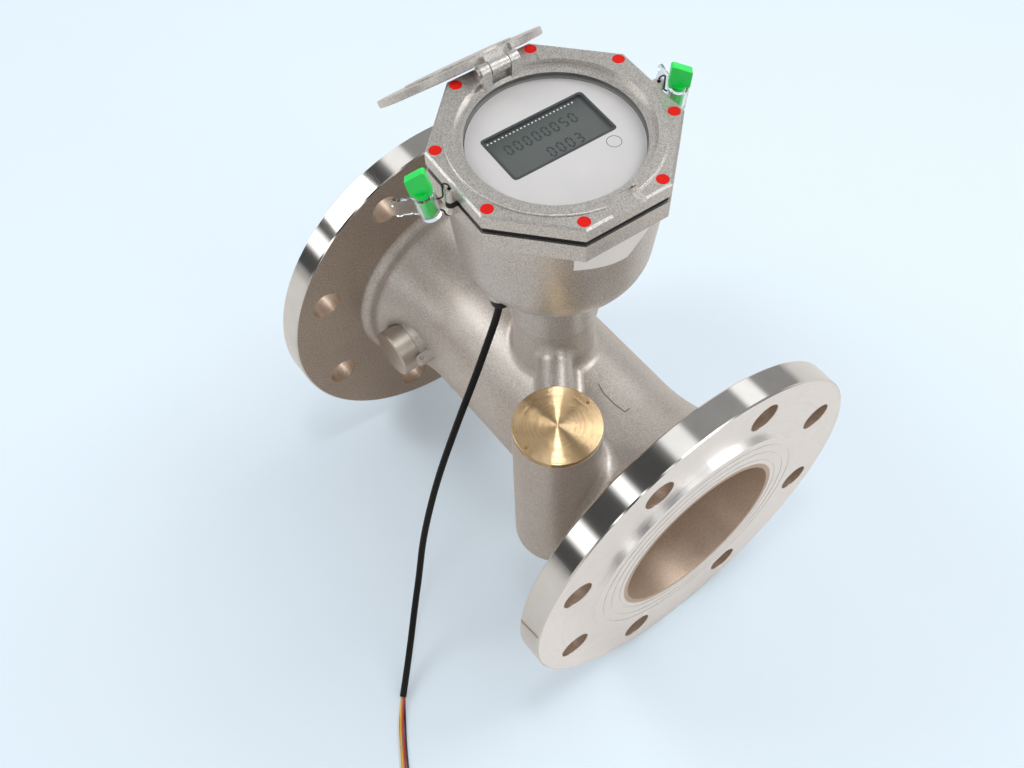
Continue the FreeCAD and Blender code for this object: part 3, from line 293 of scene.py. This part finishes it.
def cast_tube_finish():
    material, place = begin("cast_stainless")
    x, y, z = split(place)
    radius = (y * y + z * z) ** 0.5
    reach = abs(x)

    # Masks that are 1 on the bore, rim, turned face, bolt holes and back of a flange.
    taper = (reach - BORE_END).math("MAXIMUM", reach - BORE_END, 0.0) * MOUTH_TAPER
    bore = 1 - rise(radius - taper, BORE_RADIUS + 0.0022, BORE_RADIUS + 0.0032)
    rim = rise(radius, FLANGE_RADIUS - 0.0010, FLANGE_RADIUS - 0.0007)
    face = rise(reach, FLANGE_FRONT - 0.0004, FLANGE_FRONT - 0.0001) * (1 - bore) * (1 - rim)
    inside_plate = rise(reach, FLANGE_BACK + 0.0003, FLANGE_BACK + 0.0006) * (
        1 - rise(reach, FLANGE_FRONT - 0.0009, FLANGE_FRONT - 0.0006))
    hole = inside_plate * rise(radius, HOLE_INNER - 0.0010, HOLE_INNER) * (
        1 - rise(radius, HOLE_OUTER, HOLE_OUTER + 0.0010))
    back = rise(reach, FLANGE_BACK - 0.0004, FLANGE_BACK) * (1 - face) * (1 - rim)
    turned = rim.math("MAXIMUM", rim, face)

    # Colours: a pale blasted skin with warm patches, painted shade that makes the flange backs
    # darker and browner, bright where turned.
    grain = mottle(place, 1100, 3.0, 0.7)
    pits = mottle(place, 420)
    patches = mottle(place, 28, 3.0, 0.55)
    warm = rise(patches, 0.42, 0.68)
    blasted = colour_mix(warm, shade(200, 194, 188), shade(192, 181, 171))
    speckled = colour_mix(rise(grain, 0.36, 0.64), shade(138, 130, 122), shade(232, 227, 221))
    skin = colour_mix(0.15 + 0.3 * mottle(place, 160), blasted, speckled)
    cloud = mottle(place, 60, 3.0)
    specks = rise(grain, 0.40, 0.60)
    # Painted shade: the backs of the flanges are coloured darker and browner than the rest of the
    # skin.
    painted_back_shade = colour_mix(cloud, shade(138, 124, 112), shade(160, 145, 132))
    painted_back_shade = colour_mix(specks * 0.6, painted_back_shade, shade(200, 183, 167))
    wall = colour_mix(cloud, shade(176, 154, 135), shade(196, 175, 156))
    wall = colour_mix(specks * 0.35, wall, shade(220, 204, 188))
    skin = colour_mix(back * 0.85, skin, painted_back_shade)
    skin = colour_mix(bore.math("MAXIMUM", bore, hole), skin, wall)
    smear = mottle(place, 90, 4.0)
    bright = colour_mix(smear, shade(242, 240, 238), shade(251, 250, 249))
    polished = colour_mix(smear, shade(210, 209, 206), shade(228, 227, 224))
    colour = colour_mix(rim, colour_mix(face, skin, bright), polished)

    # A thin dark mark on top of the tube, by the distance from its straight runs.
    scratch = None
    for (from_x, from_y), (to_x, to_y) in zip(SCRATCH, SCRATCH[1:]):
        run_x, run_y = to_x - from_x, to_y - from_y
        run = (x - from_x) * run_x + (y - from_y) * run_y
        share = run.node("Clamp", inputs={0: run / (run_x ** 2 + run_y ** 2)})
        off_x = x - from_x - share * run_x
        off_y = y - from_y - share * run_y
        off_run = (off_x * off_x + off_y * off_y) ** 0.5
        scratch = off_run if scratch is None else off_run.math("MINIMUM", scratch, off_run)
    scratched = (1 - rise(scratch, SCRATCH_WIDTH * 0.3, SCRATCH_WIDTH)) * rise(z, *SCRATCH_ABOVE)
    colour = colour_mix(scratched * 0.85, colour, shade(46, 40, 36))

    # Gloss and surface: a rough grain where blasted, tool lines where turned.
    rings = lines_across(radius, FACE_LINE_PITCH)
    strokes = lines_across(x, RIM_LINE_PITCH)
    blast_gloss = (0.34 + 0.12 * grain) * (1 - turned)
    roughness = blast_gloss + face * (0.24 + 0.10 * rings) + rim * (0.07 + 0.05 * strokes)
    cast_height = (grain * 0.9 + pits * 0.5) * (1 - turned)
    turned_height = (face * rings + rim * strokes * 0.4) * 0.12
    normal = relief(cast_height + turned_height, BLAST_DEPTH)
    metal = BLASTED_METAL + (1 - BLASTED_METAL) * turned
    end(place, principled(place, Base_Color=colour, Metallic=metal, Roughness=roughness,
                          Normal=normal))
    return material


dress(cast_tube_finish(), "flow_tube")

# Brass plugs: turned discs that screw into the tops of the two transducer bosses. The lathe's rings
# spread each reflection into bright wedges.
PLUG_NODES = ("brass_plug_front", "brass_plug_rear")
RING_PITCH = 0.00020
RING_DEPTH = 0.000022
WAVE_PITCH = 0.0016
SCORE_PITCH = 0.0005


def turned_brass_finish(name, centre):
    material, place = begin(name)
    x, y = split(place)[:2]
    across = x - centre.x
    along = y - centre.y
    radius = (across * across + along * along) ** 0.5
    fine = radius.math("SINE", radius * (2 * math.pi / RING_PITCH)) * 0.5 + 0.5
    coarse = lines_across(radius, WAVE_PITCH)
    stain = mottle(place, 120, 3.0)
    arcs = rise(lines_across(radius, SCORE_PITCH) * (0.6 + 0.8 * mottle(place, 200)), 0.50, 0.66)
    colour = colour_mix(stain, shade(204, 175, 134), shade(219, 194, 156))
    colour = colour_mix(arcs * 0.45, colour, shade(166, 134, 92))
    colour = colour_mix(rise(coarse, 0.60, 0.72) * 0.35, colour, shade(164, 130, 94))
    roughness = 0.12 + 0.07 * coarse + 0.08 * arcs
    normal = relief(fine * (0.7 + 0.6 * coarse), RING_DEPTH)
    end(place, principled(place, Base_Color=colour, Metallic=1.0, Roughness=roughness,
                          Normal=normal))
    return material


for plug in PLUG_NODES:
    low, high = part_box(plug)
    dress(turned_brass_finish("brass_of_" + plug, (low + high) / 2), plug)

# Transducers and rubber rings: moulded stems that sit in the bosses and look across the bore
# through small windows in its wall. Black rubber seals them, the neck and the cover.
MOULD_GRAIN_DEPTH = 0.00003


def moulded_finish(name, dark, light, roughness, grain_scale=1200, gloss=0.5):
    """Moulded plastic or rubber: an even colour with a fine grain in colour, gloss and surface."""
    material, place = begin(name)
    grain = mottle(place, grain_scale, 2.0, 0.55)
    cloud = mottle(place, 70)
    colour = colour_mix(grain * 0.5 + cloud * 0.5, dark, light)
    normal = relief(grain, MOULD_GRAIN_DEPTH)
    end(place, principled(place, Base_Color=colour, Roughness=roughness + 0.12 * (cloud - 0.5),
                          Specular_IOR_Level=gloss, Normal=normal))
    return material


dress(moulded_finish("transducer_moulding", shade(30, 30, 32), shade(44, 44, 46), roughness=0.5),
      "transducer_front", "transducer_rear")
black_rubber = moulded_finish("black_rubber", shade(18, 18, 18), shade(40, 38, 37),
                              roughness=0.62, grain_scale=900, gloss=0.3)
dress(black_rubber, "transducer_orings", "neck_oring", "cover_gasket")

# Side port plug, set screws, cover screws and hinge pin: turned from stainless bar, with fine tool
# lines. The plug and the screws are screwed in, and the pin goes through the ears of the hinge.
STEEL_LINE_PITCH = 0.0003
STEEL_LINE_DEPTH = 0.00004
STEEL_DARKENING = 26


def turned_steel_finish(name, axis, light):
    """Turned steel with tool lines along one axis, in a screen colour and a darker one."""
    material, place = begin(name)
    along = split(place)["XYZ".index(axis)]
    strokes = lines_across(along, STEEL_LINE_PITCH)
    cloud = mottle(place, 150, 3.0)
    dark = shade(*(level - STEEL_DARKENING for level in light))
    colour = colour_mix(cloud, dark, shade(*light))
    normal = relief(strokes * 0.7 + mottle(place, 1800) * 0.3, STEEL_LINE_DEPTH)
    end(place, principled(place, Base_Color=colour, Metallic=1.0, Roughness=0.30 + 0.14 * strokes,
                          Normal=normal))
    return material


dress(turned_steel_finish("port_plug_steel", "Y", (214, 206, 196)), "side_port_plug")
dress(turned_steel_finish("fastener_steel", "Z", (190, 190, 190)),
      "neck_set_screws", "cover_screws")
dress(turned_steel_finish("pin_steel", "Y", (205, 205, 203)), "hinge_pin")

# The register head: bowl, cover and lid are fine stainless castings, blasted to a pale even grain
# that sparkles a little.
HEAD_METAL = 0.88
HEAD_GRAIN_DEPTH = 0.00009


def cast_head_finish():
    material, place = begin("cast_head")
    sparkle = mottle(place, 2200, 2.0, 0.6)
    grain = mottle(place, 1300, 3.0, 0.6)
    cloud = mottle(place, 45, 3.0, 0.55)
    base = colour_mix(cloud, shade(192, 188, 184), shade(208, 205, 201))
    colour = colour_mix(rise(sparkle, 0.44, 0.62) * 0.65, base, shade(240, 238, 235))
    colour = colour_mix(rise(grain, 0.48, 0.66) * 0.5, colour, shade(138, 134, 130))
    normal = relief(grain * 0.8 + sparkle * 0.5, HEAD_GRAIN_DEPTH)
    end(place, principled(place, Base_Color=colour, Metallic=HEAD_METAL,
                          Roughness=0.30 + 0.10 * sparkle, Normal=normal))
    return material


dress(cast_head_finish(), "head_housing", "top_cover", "lid")

# Paper label: a blank strip of white paper with a gummed back, stuck a little askew round the front
# of the bowl, under its flange.
MILLIMETRE = 0.001
LABEL_TOP = 0.1845
# The lower edge, as headings round the bowl in degrees and heights in millimetres.
LABEL_EDGE = ((-30, 171.3), (-20, 169.9), (-10, 168.0), (0, 167.0),
              (4, 171.0), (9, 175.0), (14, 178.0), (19, 183.5))
LABEL_STEPS = 5
LABEL_LIFT, LABEL_THICKNESS = 0.00002, 0.00012
# The bowl's wall, as a radius and a height low down and high up.
BOWL_LOW, BOWL_HIGH = (0.0467, 0.1182), (0.0533, 0.1847)


def bowl_radius(level):
    share = (level - BOWL_LOW[1]) / (BOWL_HIGH[1] - BOWL_LOW[1])
    return BOWL_LOW[0] + (BOWL_HIGH[0] - BOWL_LOW[0]) * share


def label_mesh():
    """A thin curved strip whose lower edge follows the listed headings and heights."""
    work = bmesh.new()
    columns = []
    for (heading, low), (next_heading, next_low) in zip(LABEL_EDGE, LABEL_EDGE[1:]):
        for step in range(LABEL_STEPS):
            share = step / LABEL_STEPS
            columns.append((heading + (next_heading - heading) * share,
                            low + (next_low - low) * share))
    columns.append(LABEL_EDGE[-1])
    rows = []
    face_lift = LABEL_LIFT + LABEL_THICKNESS
    for heading, low in columns:
        angle = math.radians(heading)
        foot = low * MILLIMETRE
        row = []
        for level, lift in ((foot, LABEL_LIFT), (LABEL_TOP, LABEL_LIFT),
                            (LABEL_TOP, face_lift), (foot, face_lift)):
            radius = bowl_radius(level) + lift
            row.append(work.verts.new((radius * math.cos(angle), radius * math.sin(angle), level)))
        rows.append(row)
    for row, after in zip(rows, rows[1:]):
        for corner in range(4):
            following = (corner + 1) % 4
            work.faces.new((row[corner], row[following], after[following], after[corner]))
    work.faces.new(rows[0])
    work.faces.new(rows[-1])
    bmesh.ops.recalc_face_normals(work, faces=work.faces[:])
    mesh = bpy.data.meshes.new("label")
    work.to_mesh(mesh)
    work.free()
    return mesh


def add_piece(name, mesh, material, body):
    """Put a finished mesh in the scene, on the body that carries it."""
    mesh.materials.clear()
    mesh.materials.append(material)
    piece = bpy.data.objects.new(name, mesh)
    scene.collection.objects.link(piece)
    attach(piece, body)


label_paper = moulded_finish("label_paper", shade(236, 234, 232), shade(246, 244, 242),
                             roughness=0.6, grain_scale=500)
add_piece("bowl_label", label_mesh(), label_paper, "meter")

# Red tamper caps: small discs moulded in red plastic with a matt face, pressed in over the eight
# cover screws.
CAP_DIMPLE_DEPTH = 0.00012


def red_cap_finish():
    material, place = begin("red_caps")
    dimple = mottle(place, 700)
    colour = colour_mix(mottle(place, 260), shade(204, 20, 14), shade(220, 30, 22))
    end(place, principled(place, Base_Color=colour, Roughness=0.5 + 0.1 * dimple,
                          Specular_IOR_Level=0.15, Normal=relief(dimple, CAP_DIMPLE_DEPTH)))
    return material


dress(red_cap_finish(), "red_caps")

# Window: a clear glass disc in the cover, bedded in a thin grey rubber seal and held from below
# by a pale moulded ring.
WINDOW_TINT = (0.97, 0.985, 0.98, 1)
WINDOW_HAZE = 0.012
WINDOW_BENDING = 1.20


def clear_finish(name, tint, roughness, bending):
    """Clear glass or plastic that lets the light of the set through to what lies behind it."""
    material, place = begin(name)
    smear = mottle(place, 80)
    body = principled(place, Base_Color=tint, Transmission_Weight=1.0, IOR=bending,
                      Roughness=roughness * (0.6 + 0.8 * smear))
    open_way = place.node("BsdfTransparent", inputs={"Color": tint})
    shadow_ray = place.node("LightPath", output="Is Shadow Ray")
    scattered_ray = place.node("LightPath", output="Is Diffuse Ray")
    lighting = shadow_ray.math("MAXIMUM", shadow_ray, scattered_ray)
    end(place, place.node("MixShader", inputs={0: lighting, 1: body, 2: open_way}))
    return material


dress(clear_finish("window_glass", WINDOW_TINT, WINDOW_HAZE, WINDOW_BENDING), "window_glass")
dress(moulded_finish("grey_rubber", shade(84, 82, 81), shade(108, 106, 105),
                     roughness=0.6, grain_scale=900), "window_seal")
dress(moulded_finish("pale_moulding", shade(150, 148, 147), shade(168, 166, 165), roughness=0.5),
      "glass_retainer")

# Dial plate: a pale plate with a satin face that lies under the glass, open over the display and
# plain but for a fine printed ring beside it.
HEAD_TURN = math.radians(-3.8)
DIAL_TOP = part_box("dial_plate")[1].z
DIAL_GRAIN_DEPTH = 0.00001
TOUCH_RING_AT = Vector((0.0147, 0.0216))
TOUCH_RING_RADIUS = 0.0036
TOUCH_RING_LINE = 0.0003
TOUCH_RING_SIDES = 48
PRINT_THICKNESS = 0.00004


def dial_finish():
    material, place = begin("dial_plate")
    satin = mottle(place, 1500)
    cloud = mottle(place, 40)
    colour = colour_mix(cloud, shade(200, 194, 196), shade(214, 208, 209))
    end(place, principled(place, Base_Color=colour, Roughness=0.55 + 0.08 * satin,
                          Normal=relief(satin, DIAL_GRAIN_DEPTH)))
    return material


dress(dial_finish(), "dial_plate")
turned_head = Matrix.Rotation(HEAD_TURN, 4, "Z")


def flat_print(outlines, height, thickness):
    """Thin printed shapes from flat outlines, each a loop of points in the head's directions."""
    work = bmesh.new()
    for outline in outlines:
        low = [work.verts.new((across, along, height)) for across, along in outline]
        work.faces.new(low)
    made = bmesh.ops.extrude_face_region(work, geom=work.faces[:])
    raised = [item for item in made["geom"] if isinstance(item, bmesh.types.BMVert)]
    bmesh.ops.translate(work, verts=raised, vec=(0, 0, thickness))
    bmesh.ops.recalc_face_normals(work, faces=work.faces[:])
    bmesh.ops.transform(work, matrix=turned_head, verts=work.verts[:])
    mesh = bpy.data.meshes.new("print")
    work.to_mesh(mesh)
    work.free()
    return mesh


def ring_sector_outlines(centre, inner, outer, count):
    """A flat ring as four-sided pieces."""
    outlines = []
    for step in range(count):
        first, second = (2 * math.pi * (step + part) / count for part in (0, 1))
        corners = ((inner, first), (outer, first), (outer, second), (inner, second))
        outlines.append([(centre.x + radius * math.cos(angle), centre.y + radius * math.sin(angle))
                         for radius, angle in corners])
    return outlines


ink = moulded_finish("printing_ink", shade(34, 34, 38), shade(52, 52, 56), roughness=0.5)
ring_outlines = ring_sector_outlines(TOUCH_RING_AT, TOUCH_RING_RADIUS - TOUCH_RING_LINE,
                                     TOUCH_RING_RADIUS, TOUCH_RING_SIDES)
add_piece("touch_ring", flat_print(ring_outlines, DIAL_TOP, PRINT_THICKNESS), ink,
          "meter")

# Display: a reflective segment panel set just under the dial, with a black mask round it, a row of
# white dots and two rows of figures.
PANEL_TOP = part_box("display_panel")[1].z
PANEL_SHADE_BETWEEN = (-0.022, -0.004)
DISPLAY_LENGTH, DISPLAY_WIDTH = 0.0553, 0.0283
DISPLAY_MIDDLE = -0.0055
MASK_WIDTH = 0.0010
MASK_OVERLAP = 0.0004
MASK_ROUND = 0.0022
MASK_INNER_SHARE = 0.6
DIGIT_HEIGHT, DIGIT_WIDTH, DIGIT_PITCH = 0.0064, 0.0034, 0.0050
SEGMENT_WIDTH = 0.0009
SEGMENTS_OF = {"0": "abcdef", "3": "abcdg", "5": "acdfg"}
# Each row: its figures, and the first one's place as shares along and down the display.
FIGURE_ROWS = (("00000050", 0.155, 0.37), ("0003", 0.43, 0.79))
DOT_COUNT = 24
DOT_RADIUS = 0.00042
DOT_SIDES = 10
DOTS_FROM, DOTS_TO, DOTS_DOWN = 0.045, 0.885, 0.085


def display_spot(along, down):
    """A point of the display, from shares of its length and width from its top left corner."""
    return (DISPLAY_MIDDLE + (down - 0.5) * DISPLAY_WIDTH, (along - 0.5) * DISPLAY_LENGTH)


def panel_finish():
    material, place = begin("display_panel")
    x = split(place)[0]
    # Painted shade: the panel is coloured darker towards -X, its top edge.
    painted_shade = rise(x, *PANEL_SHADE_BETWEEN)
    cloud = mottle(place, 60)
    colour = colour_mix(painted_shade * 0.8 + cloud * 0.2, shade(66, 69, 68), shade(92, 94, 93))
    end(place, principled(place, Base_Color=colour, Roughness=0.50 + 0.1 * cloud,
                          Specular_IOR_Level=0.2))
    return material


dress(panel_finish(), "display_panel")


def segment(centre, upright, length):
    """One bar of a figure, with pointed ends. Figures read along Y and stand towards -X."""
    tip, side = length / 2, SEGMENT_WIDTH / 2
    bar = [(-tip, 0), (-tip + side, side), (tip - side, side),
           (tip, 0), (tip - side, -side), (-tip + side, -side)]
    if upright:
        return [(centre[0] + along, centre[1] + across) for along, across in bar]
    return [(centre[0] + across, centre[1] + along) for along, across in bar]


def figure(character, centre):
    """The bars of one seven-bar figure about its centre."""
    half_height = DIGIT_HEIGHT / 2 - SEGMENT_WIDTH / 2
    half_width = DIGIT_WIDTH / 2 - SEGMENT_WIDTH / 2
    level = DIGIT_WIDTH - SEGMENT_WIDTH * 1.3
    tall = half_height - SEGMENT_WIDTH * 0.3
    bars = {
        "a": ((-half_height, 0), False, level),
        "g": ((0, 0), False, level),
        "d": ((half_height, 0), False, level),
        "f": ((-half_height / 2, -half_width), True, tall),
        "b": ((-half_height / 2, half_width), True, tall),
        "e": ((half_height / 2, -half_width), True, tall),
        "c": ((half_height / 2, half_width), True, tall),
    }
    shapes = []
    for name in SEGMENTS_OF[character]:
        offset, upright, length = bars[name]
        shapes.append(segment((centre[0] + offset[0], centre[1] + offset[1]), upright, length))
    return shapes


figures = []
for text, first, down in FIGURE_ROWS:
    start = display_spot(first, down)
    for index, character in enumerate(text):
        figures += figure(character, (start[0], start[1] + index * DIGIT_PITCH))
liquid = moulded_finish("display_figures", shade(14, 17, 16), shade(26, 30, 28), roughness=0.7)
add_piece("display_figures", flat_print(figures, PANEL_TOP, PRINT_THICKNESS), liquid,
          "meter")


def rounded_rectangle(half_length, half_width, radius, steps=6):
    """Corners of a rounded rectangle about the display's middle, going round once."""
    loop = []
    for quarter, (side_x, side_y) in enumerate(((1, 1), (-1, 1), (-1, -1), (1, -1))):
        for step in range(steps + 1):
            angle = math.pi / 2 * (quarter + step / steps)
            loop.append((DISPLAY_MIDDLE + side_x * (half_width - radius) + radius * math.cos(angle),
                         side_y * (half_length - radius) + radius * math.sin(angle)))
    return loop


outer_edge = rounded_rectangle(DISPLAY_LENGTH / 2 + MASK_OVERLAP, DISPLAY_WIDTH / 2 + MASK_OVERLAP,
                               MASK_ROUND)
inner_edge = rounded_rectangle(DISPLAY_LENGTH / 2 - MASK_WIDTH, DISPLAY_WIDTH / 2 - MASK_WIDTH,
                               MASK_ROUND * MASK_INNER_SHARE)
mask_outlines = []
for index, corner in enumerate(outer_edge):
    following = (index + 1) % len(outer_edge)
    mask_outlines.append([corner, outer_edge[following], inner_edge[following], inner_edge[index]])
add_piece("display_mask", flat_print(mask_outlines, DIAL_TOP, PRINT_THICKNESS), ink,
          "meter")


def row_of_dots():
    """A tree that sets small round dots at even steps along a line."""
    tree = bpy.data.node_groups.new("row_of_dots", "GeometryNodeTree")
    tree.interface.new_socket("Geometry", in_out="OUTPUT", socket_type="NodeSocketGeometry")
    inputs = {}
    for name, kind in (("Count", "Int"), ("Radius", "Float"), ("Thickness", "Float"),
                       ("Start", "Vector"), ("Step", "Vector"), ("Finish", "Material")):
        socket = tree.interface.new_socket(name, in_out="INPUT", socket_type="NodeSocket" + kind)
        inputs[name] = socket.identifier
    entry = tree.nodes.new("NodeGroupInput")
    line = tree.nodes.new("GeometryNodeMeshLine")
    line.mode = "OFFSET"
    disc = tree.nodes.new("GeometryNodeMeshCylinder")
    disc.inputs["Vertices"].default_value = DOT_SIDES
    spread = tree.nodes.new("GeometryNodeInstanceOnPoints")
    real = tree.nodes.new("GeometryNodeRealizeInstances")
    paint = tree.nodes.new("GeometryNodeSetMaterial")
    leave = tree.nodes.new("NodeGroupOutput")
    for source, output, target, entrance in (
        (entry, "Count", line, "Count"),
        (entry, "Start", line, "Start Location"),
        (entry, "Step", line, "Offset"),
        (entry, "Radius", disc, "Radius"),
        (entry, "Thickness", disc, "Depth"),
        (line, "Mesh", spread, "Points"),
        (disc, "Mesh", spread, "Instance"),
        (spread, "Instances", real, "Geometry"),
        (real, "Geometry", paint, "Geometry"),
        (entry, "Finish", paint, "Material"),
        (paint, "Geometry", leave, "Geometry"),
    ):
        tree.links.new(source.outputs[output], target.inputs[entrance])
    return tree, inputs


def grown(name, tree, inputs, values):
    """Run a geometry tree with its named inputs and keep the result as a plain mesh."""
    source = bpy.data.objects.new(name, bpy.data.meshes.new(name))
    scene.collection.objects.link(source)
    modifier = source.modifiers.new(name, "NODES")
    modifier.node_group = tree
    for key, given in values.items():
        modifier[inputs[key]] = given
    evaluated = source.evaluated_get(bpy.context.evaluated_depsgraph_get())
    mesh = bpy.data.meshes.new_from_object(evaluated)
    bpy.data.objects.remove(source)
    return mesh


white_print = moulded_finish("white_print", shade(238, 241, 238), shade(250, 251, 250),
                             roughness=0.5)
dots_tree, dots_inputs = row_of_dots()
first_dot = Vector((*display_spot(DOTS_FROM, DOTS_DOWN), PANEL_TOP))
last_dot = Vector((*display_spot(DOTS_TO, DOTS_DOWN), PANEL_TOP))
dots_mesh = grown("display_dots", dots_tree, dots_inputs, {
    "Count": DOT_COUNT, "Radius": DOT_RADIUS, "Thickness": PRINT_THICKNESS * 2,
    "Start": first_dot, "Step": (last_dot - first_dot) / (DOT_COUNT - 1), "Finish": white_print,
})
dots_mesh.transform(turned_head)
add_piece("display_dots", dots_mesh, white_print, "meter")

# Circuit board, carrier and lithium cell: a green laminate board on a dark moulded carrier, and a
# cell in a green sleeve in the carrier's cradle, all closed in the bowl below the dial.
TRACK_DEPTH = 0.00003


def board_finish():
    material, place = begin("circuit_board")
    tracks = mottle(place, 500, 1.0)
    colour = colour_mix(rise(tracks, 0.48, 0.54), shade(24, 84, 48), shade(38, 112, 66))
    end(place, principled(place, Base_Color=colour, Roughness=0.35,
                          Normal=relief(tracks, TRACK_DEPTH)))
    return material


dress(board_finish(), "circuit_board")
dress(moulded_finish("dark_moulding", shade(24, 24, 26), shade(38, 38, 40), roughness=0.5),
      "electronics_carrier")
dress(moulded_finish("cell_sleeve", shade(48, 110, 70), shade(62, 128, 84), roughness=0.4),
      "lithium_cell")

# Twist seals: clear moulded barrels, hung at the two lugs on dark twisted wire. Each holds a green
# winged rotor that winds the wire in when the seal is set.
BARREL_TINT = (0.93, 0.96, 0.95, 1)
BARREL_HAZE = 0.10
BARREL_BENDING = 1.46
ROTOR_GRAIN_DEPTH = 0.00003


def green_finish():
    material, place = begin("seal_rotor")
    cloud = mottle(place, 300)
    colour = colour_mix(cloud, shade(6, 222, 84), shade(16, 236, 98))
    end(place, principled(place, Base_Color=colour, Roughness=0.36 + 0.08 * cloud,
                          Normal=relief(cloud, ROTOR_GRAIN_DEPTH)))
    return material


dress(clear_finish("seal_barrel", BARREL_TINT, BARREL_HAZE, BARREL_BENDING),
      "seal_body_left", "seal_body_right")
dress(green_finish(), "seal_rotor_left", "seal_rotor_right")
dress(turned_steel_finish("sealing_wire", "Z", (74, 70, 66)), "seal_wire_left", "seal_wire_right")

# Output cable: a soft black sheath from the steel gland under the bowl down to the sheet, where its
# four coloured cores run on side by side and end bare.
CABLE_DIAMETER = 0.004
CABLE_ROUTE = [
    (2.1, -36.2, 114.9), (2.0, -37.6, 105.2), (2.6, -44.5, 89.6), (4.7, -57.1, 65.5),
    (7.7, -73.0, 39.4), (10.9, -92.6, 1.3), (16.3, -109.9, -38.8), (23.2, -120.4, -64.9),
    (31.3, -131.7, -83.9), (46.7, -148.3, -100.2), (64.1, -165.9, -106.6),
]
CORE_DIAMETER = 0.0012
CORE_DARKENING = 12
# Each core: its name, screen colour, length and route.
CORES = (
    ("white", (226, 224, 218), 0.0554,
     [(63.56, -166.34, -107.28), (72.4, -175.4, -108.3), (85.0, -183.5, -108.35),
      (97.7, -190.9, -108.35), (108.6, -199.0, -108.35)]),
    ("yellow", (226, 178, 24), 0.0555,
     [(63.8, -166.58, -106.03), (73.1, -174.2, -106.9), (85.7, -182.3, -108.35),
      (98.4, -189.7, -108.35), (109.7, -197.5, -108.35)]),
    ("red", (196, 34, 28), 0.0554,
     [(64.8, -165.58, -106.03), (73.9, -173.1, -106.9), (86.5, -181.2, -108.35),
      (99.2, -188.6, -108.35), (110.8, -195.9, -108.35)]),
    ("black", (30, 30, 32), 0.0548,
     [(64.6, -165.38, -107.3), (74.6, -172.0, -108.3), (87.2, -180.1, -108.35),
      (99.9, -187.5, -108.35), (112.0, -194.0, -108.35)]),
)
CORD_STEPS, CORD_ROUNDNESS = 12, 4


def free_cord(name, route, diameter, material, node):
    """A cord along listed points, smooth between them."""
    points = [Vector(point) * MILLIMETRE for point in route]
    line = bpy.data.curves.new(name, "CURVE")
    line.dimensions = "3D"
    line.resolution_u = CORD_STEPS
    line.bevel_depth = diameter / 2
    line.bevel_resolution = CORD_ROUNDNESS
    line.use_fill_caps = True
    spline = line.splines.new("NURBS")
    spline.points.add(len(points) - 1)
    for control, point in zip(spline.points, points):
        control.co = (*point, 1)
    spline.order_u = 3
    spline.use_endpoint_u = True
    line.materials.append(material)
    piece = bpy.data.objects.new(name, line)
    scene.collection.objects.link(piece)
    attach(piece, "meter")
    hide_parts(node)


sheath = moulded_finish("cable_sheath", shade(10, 10, 11), shade(20, 20, 21),
                        roughness=0.40, grain_scale=600, gloss=0.2)
free_cord("output_cable", CABLE_ROUTE, CABLE_DIAMETER, sheath, "cable_jacket")
for core, light, length, route in CORES:
    dark = shade(*(max(level - CORE_DARKENING, 0) for level in light))
    insulation = moulded_finish("core_" + core, dark, shade(*light), roughness=0.38)
    free_cord("wire_" + core, route, CORE_DIAMETER, insulation, "core_" + core)
dress(turned_steel_finish("gland_steel", "Z", (62, 62, 63)), "cable_gland")
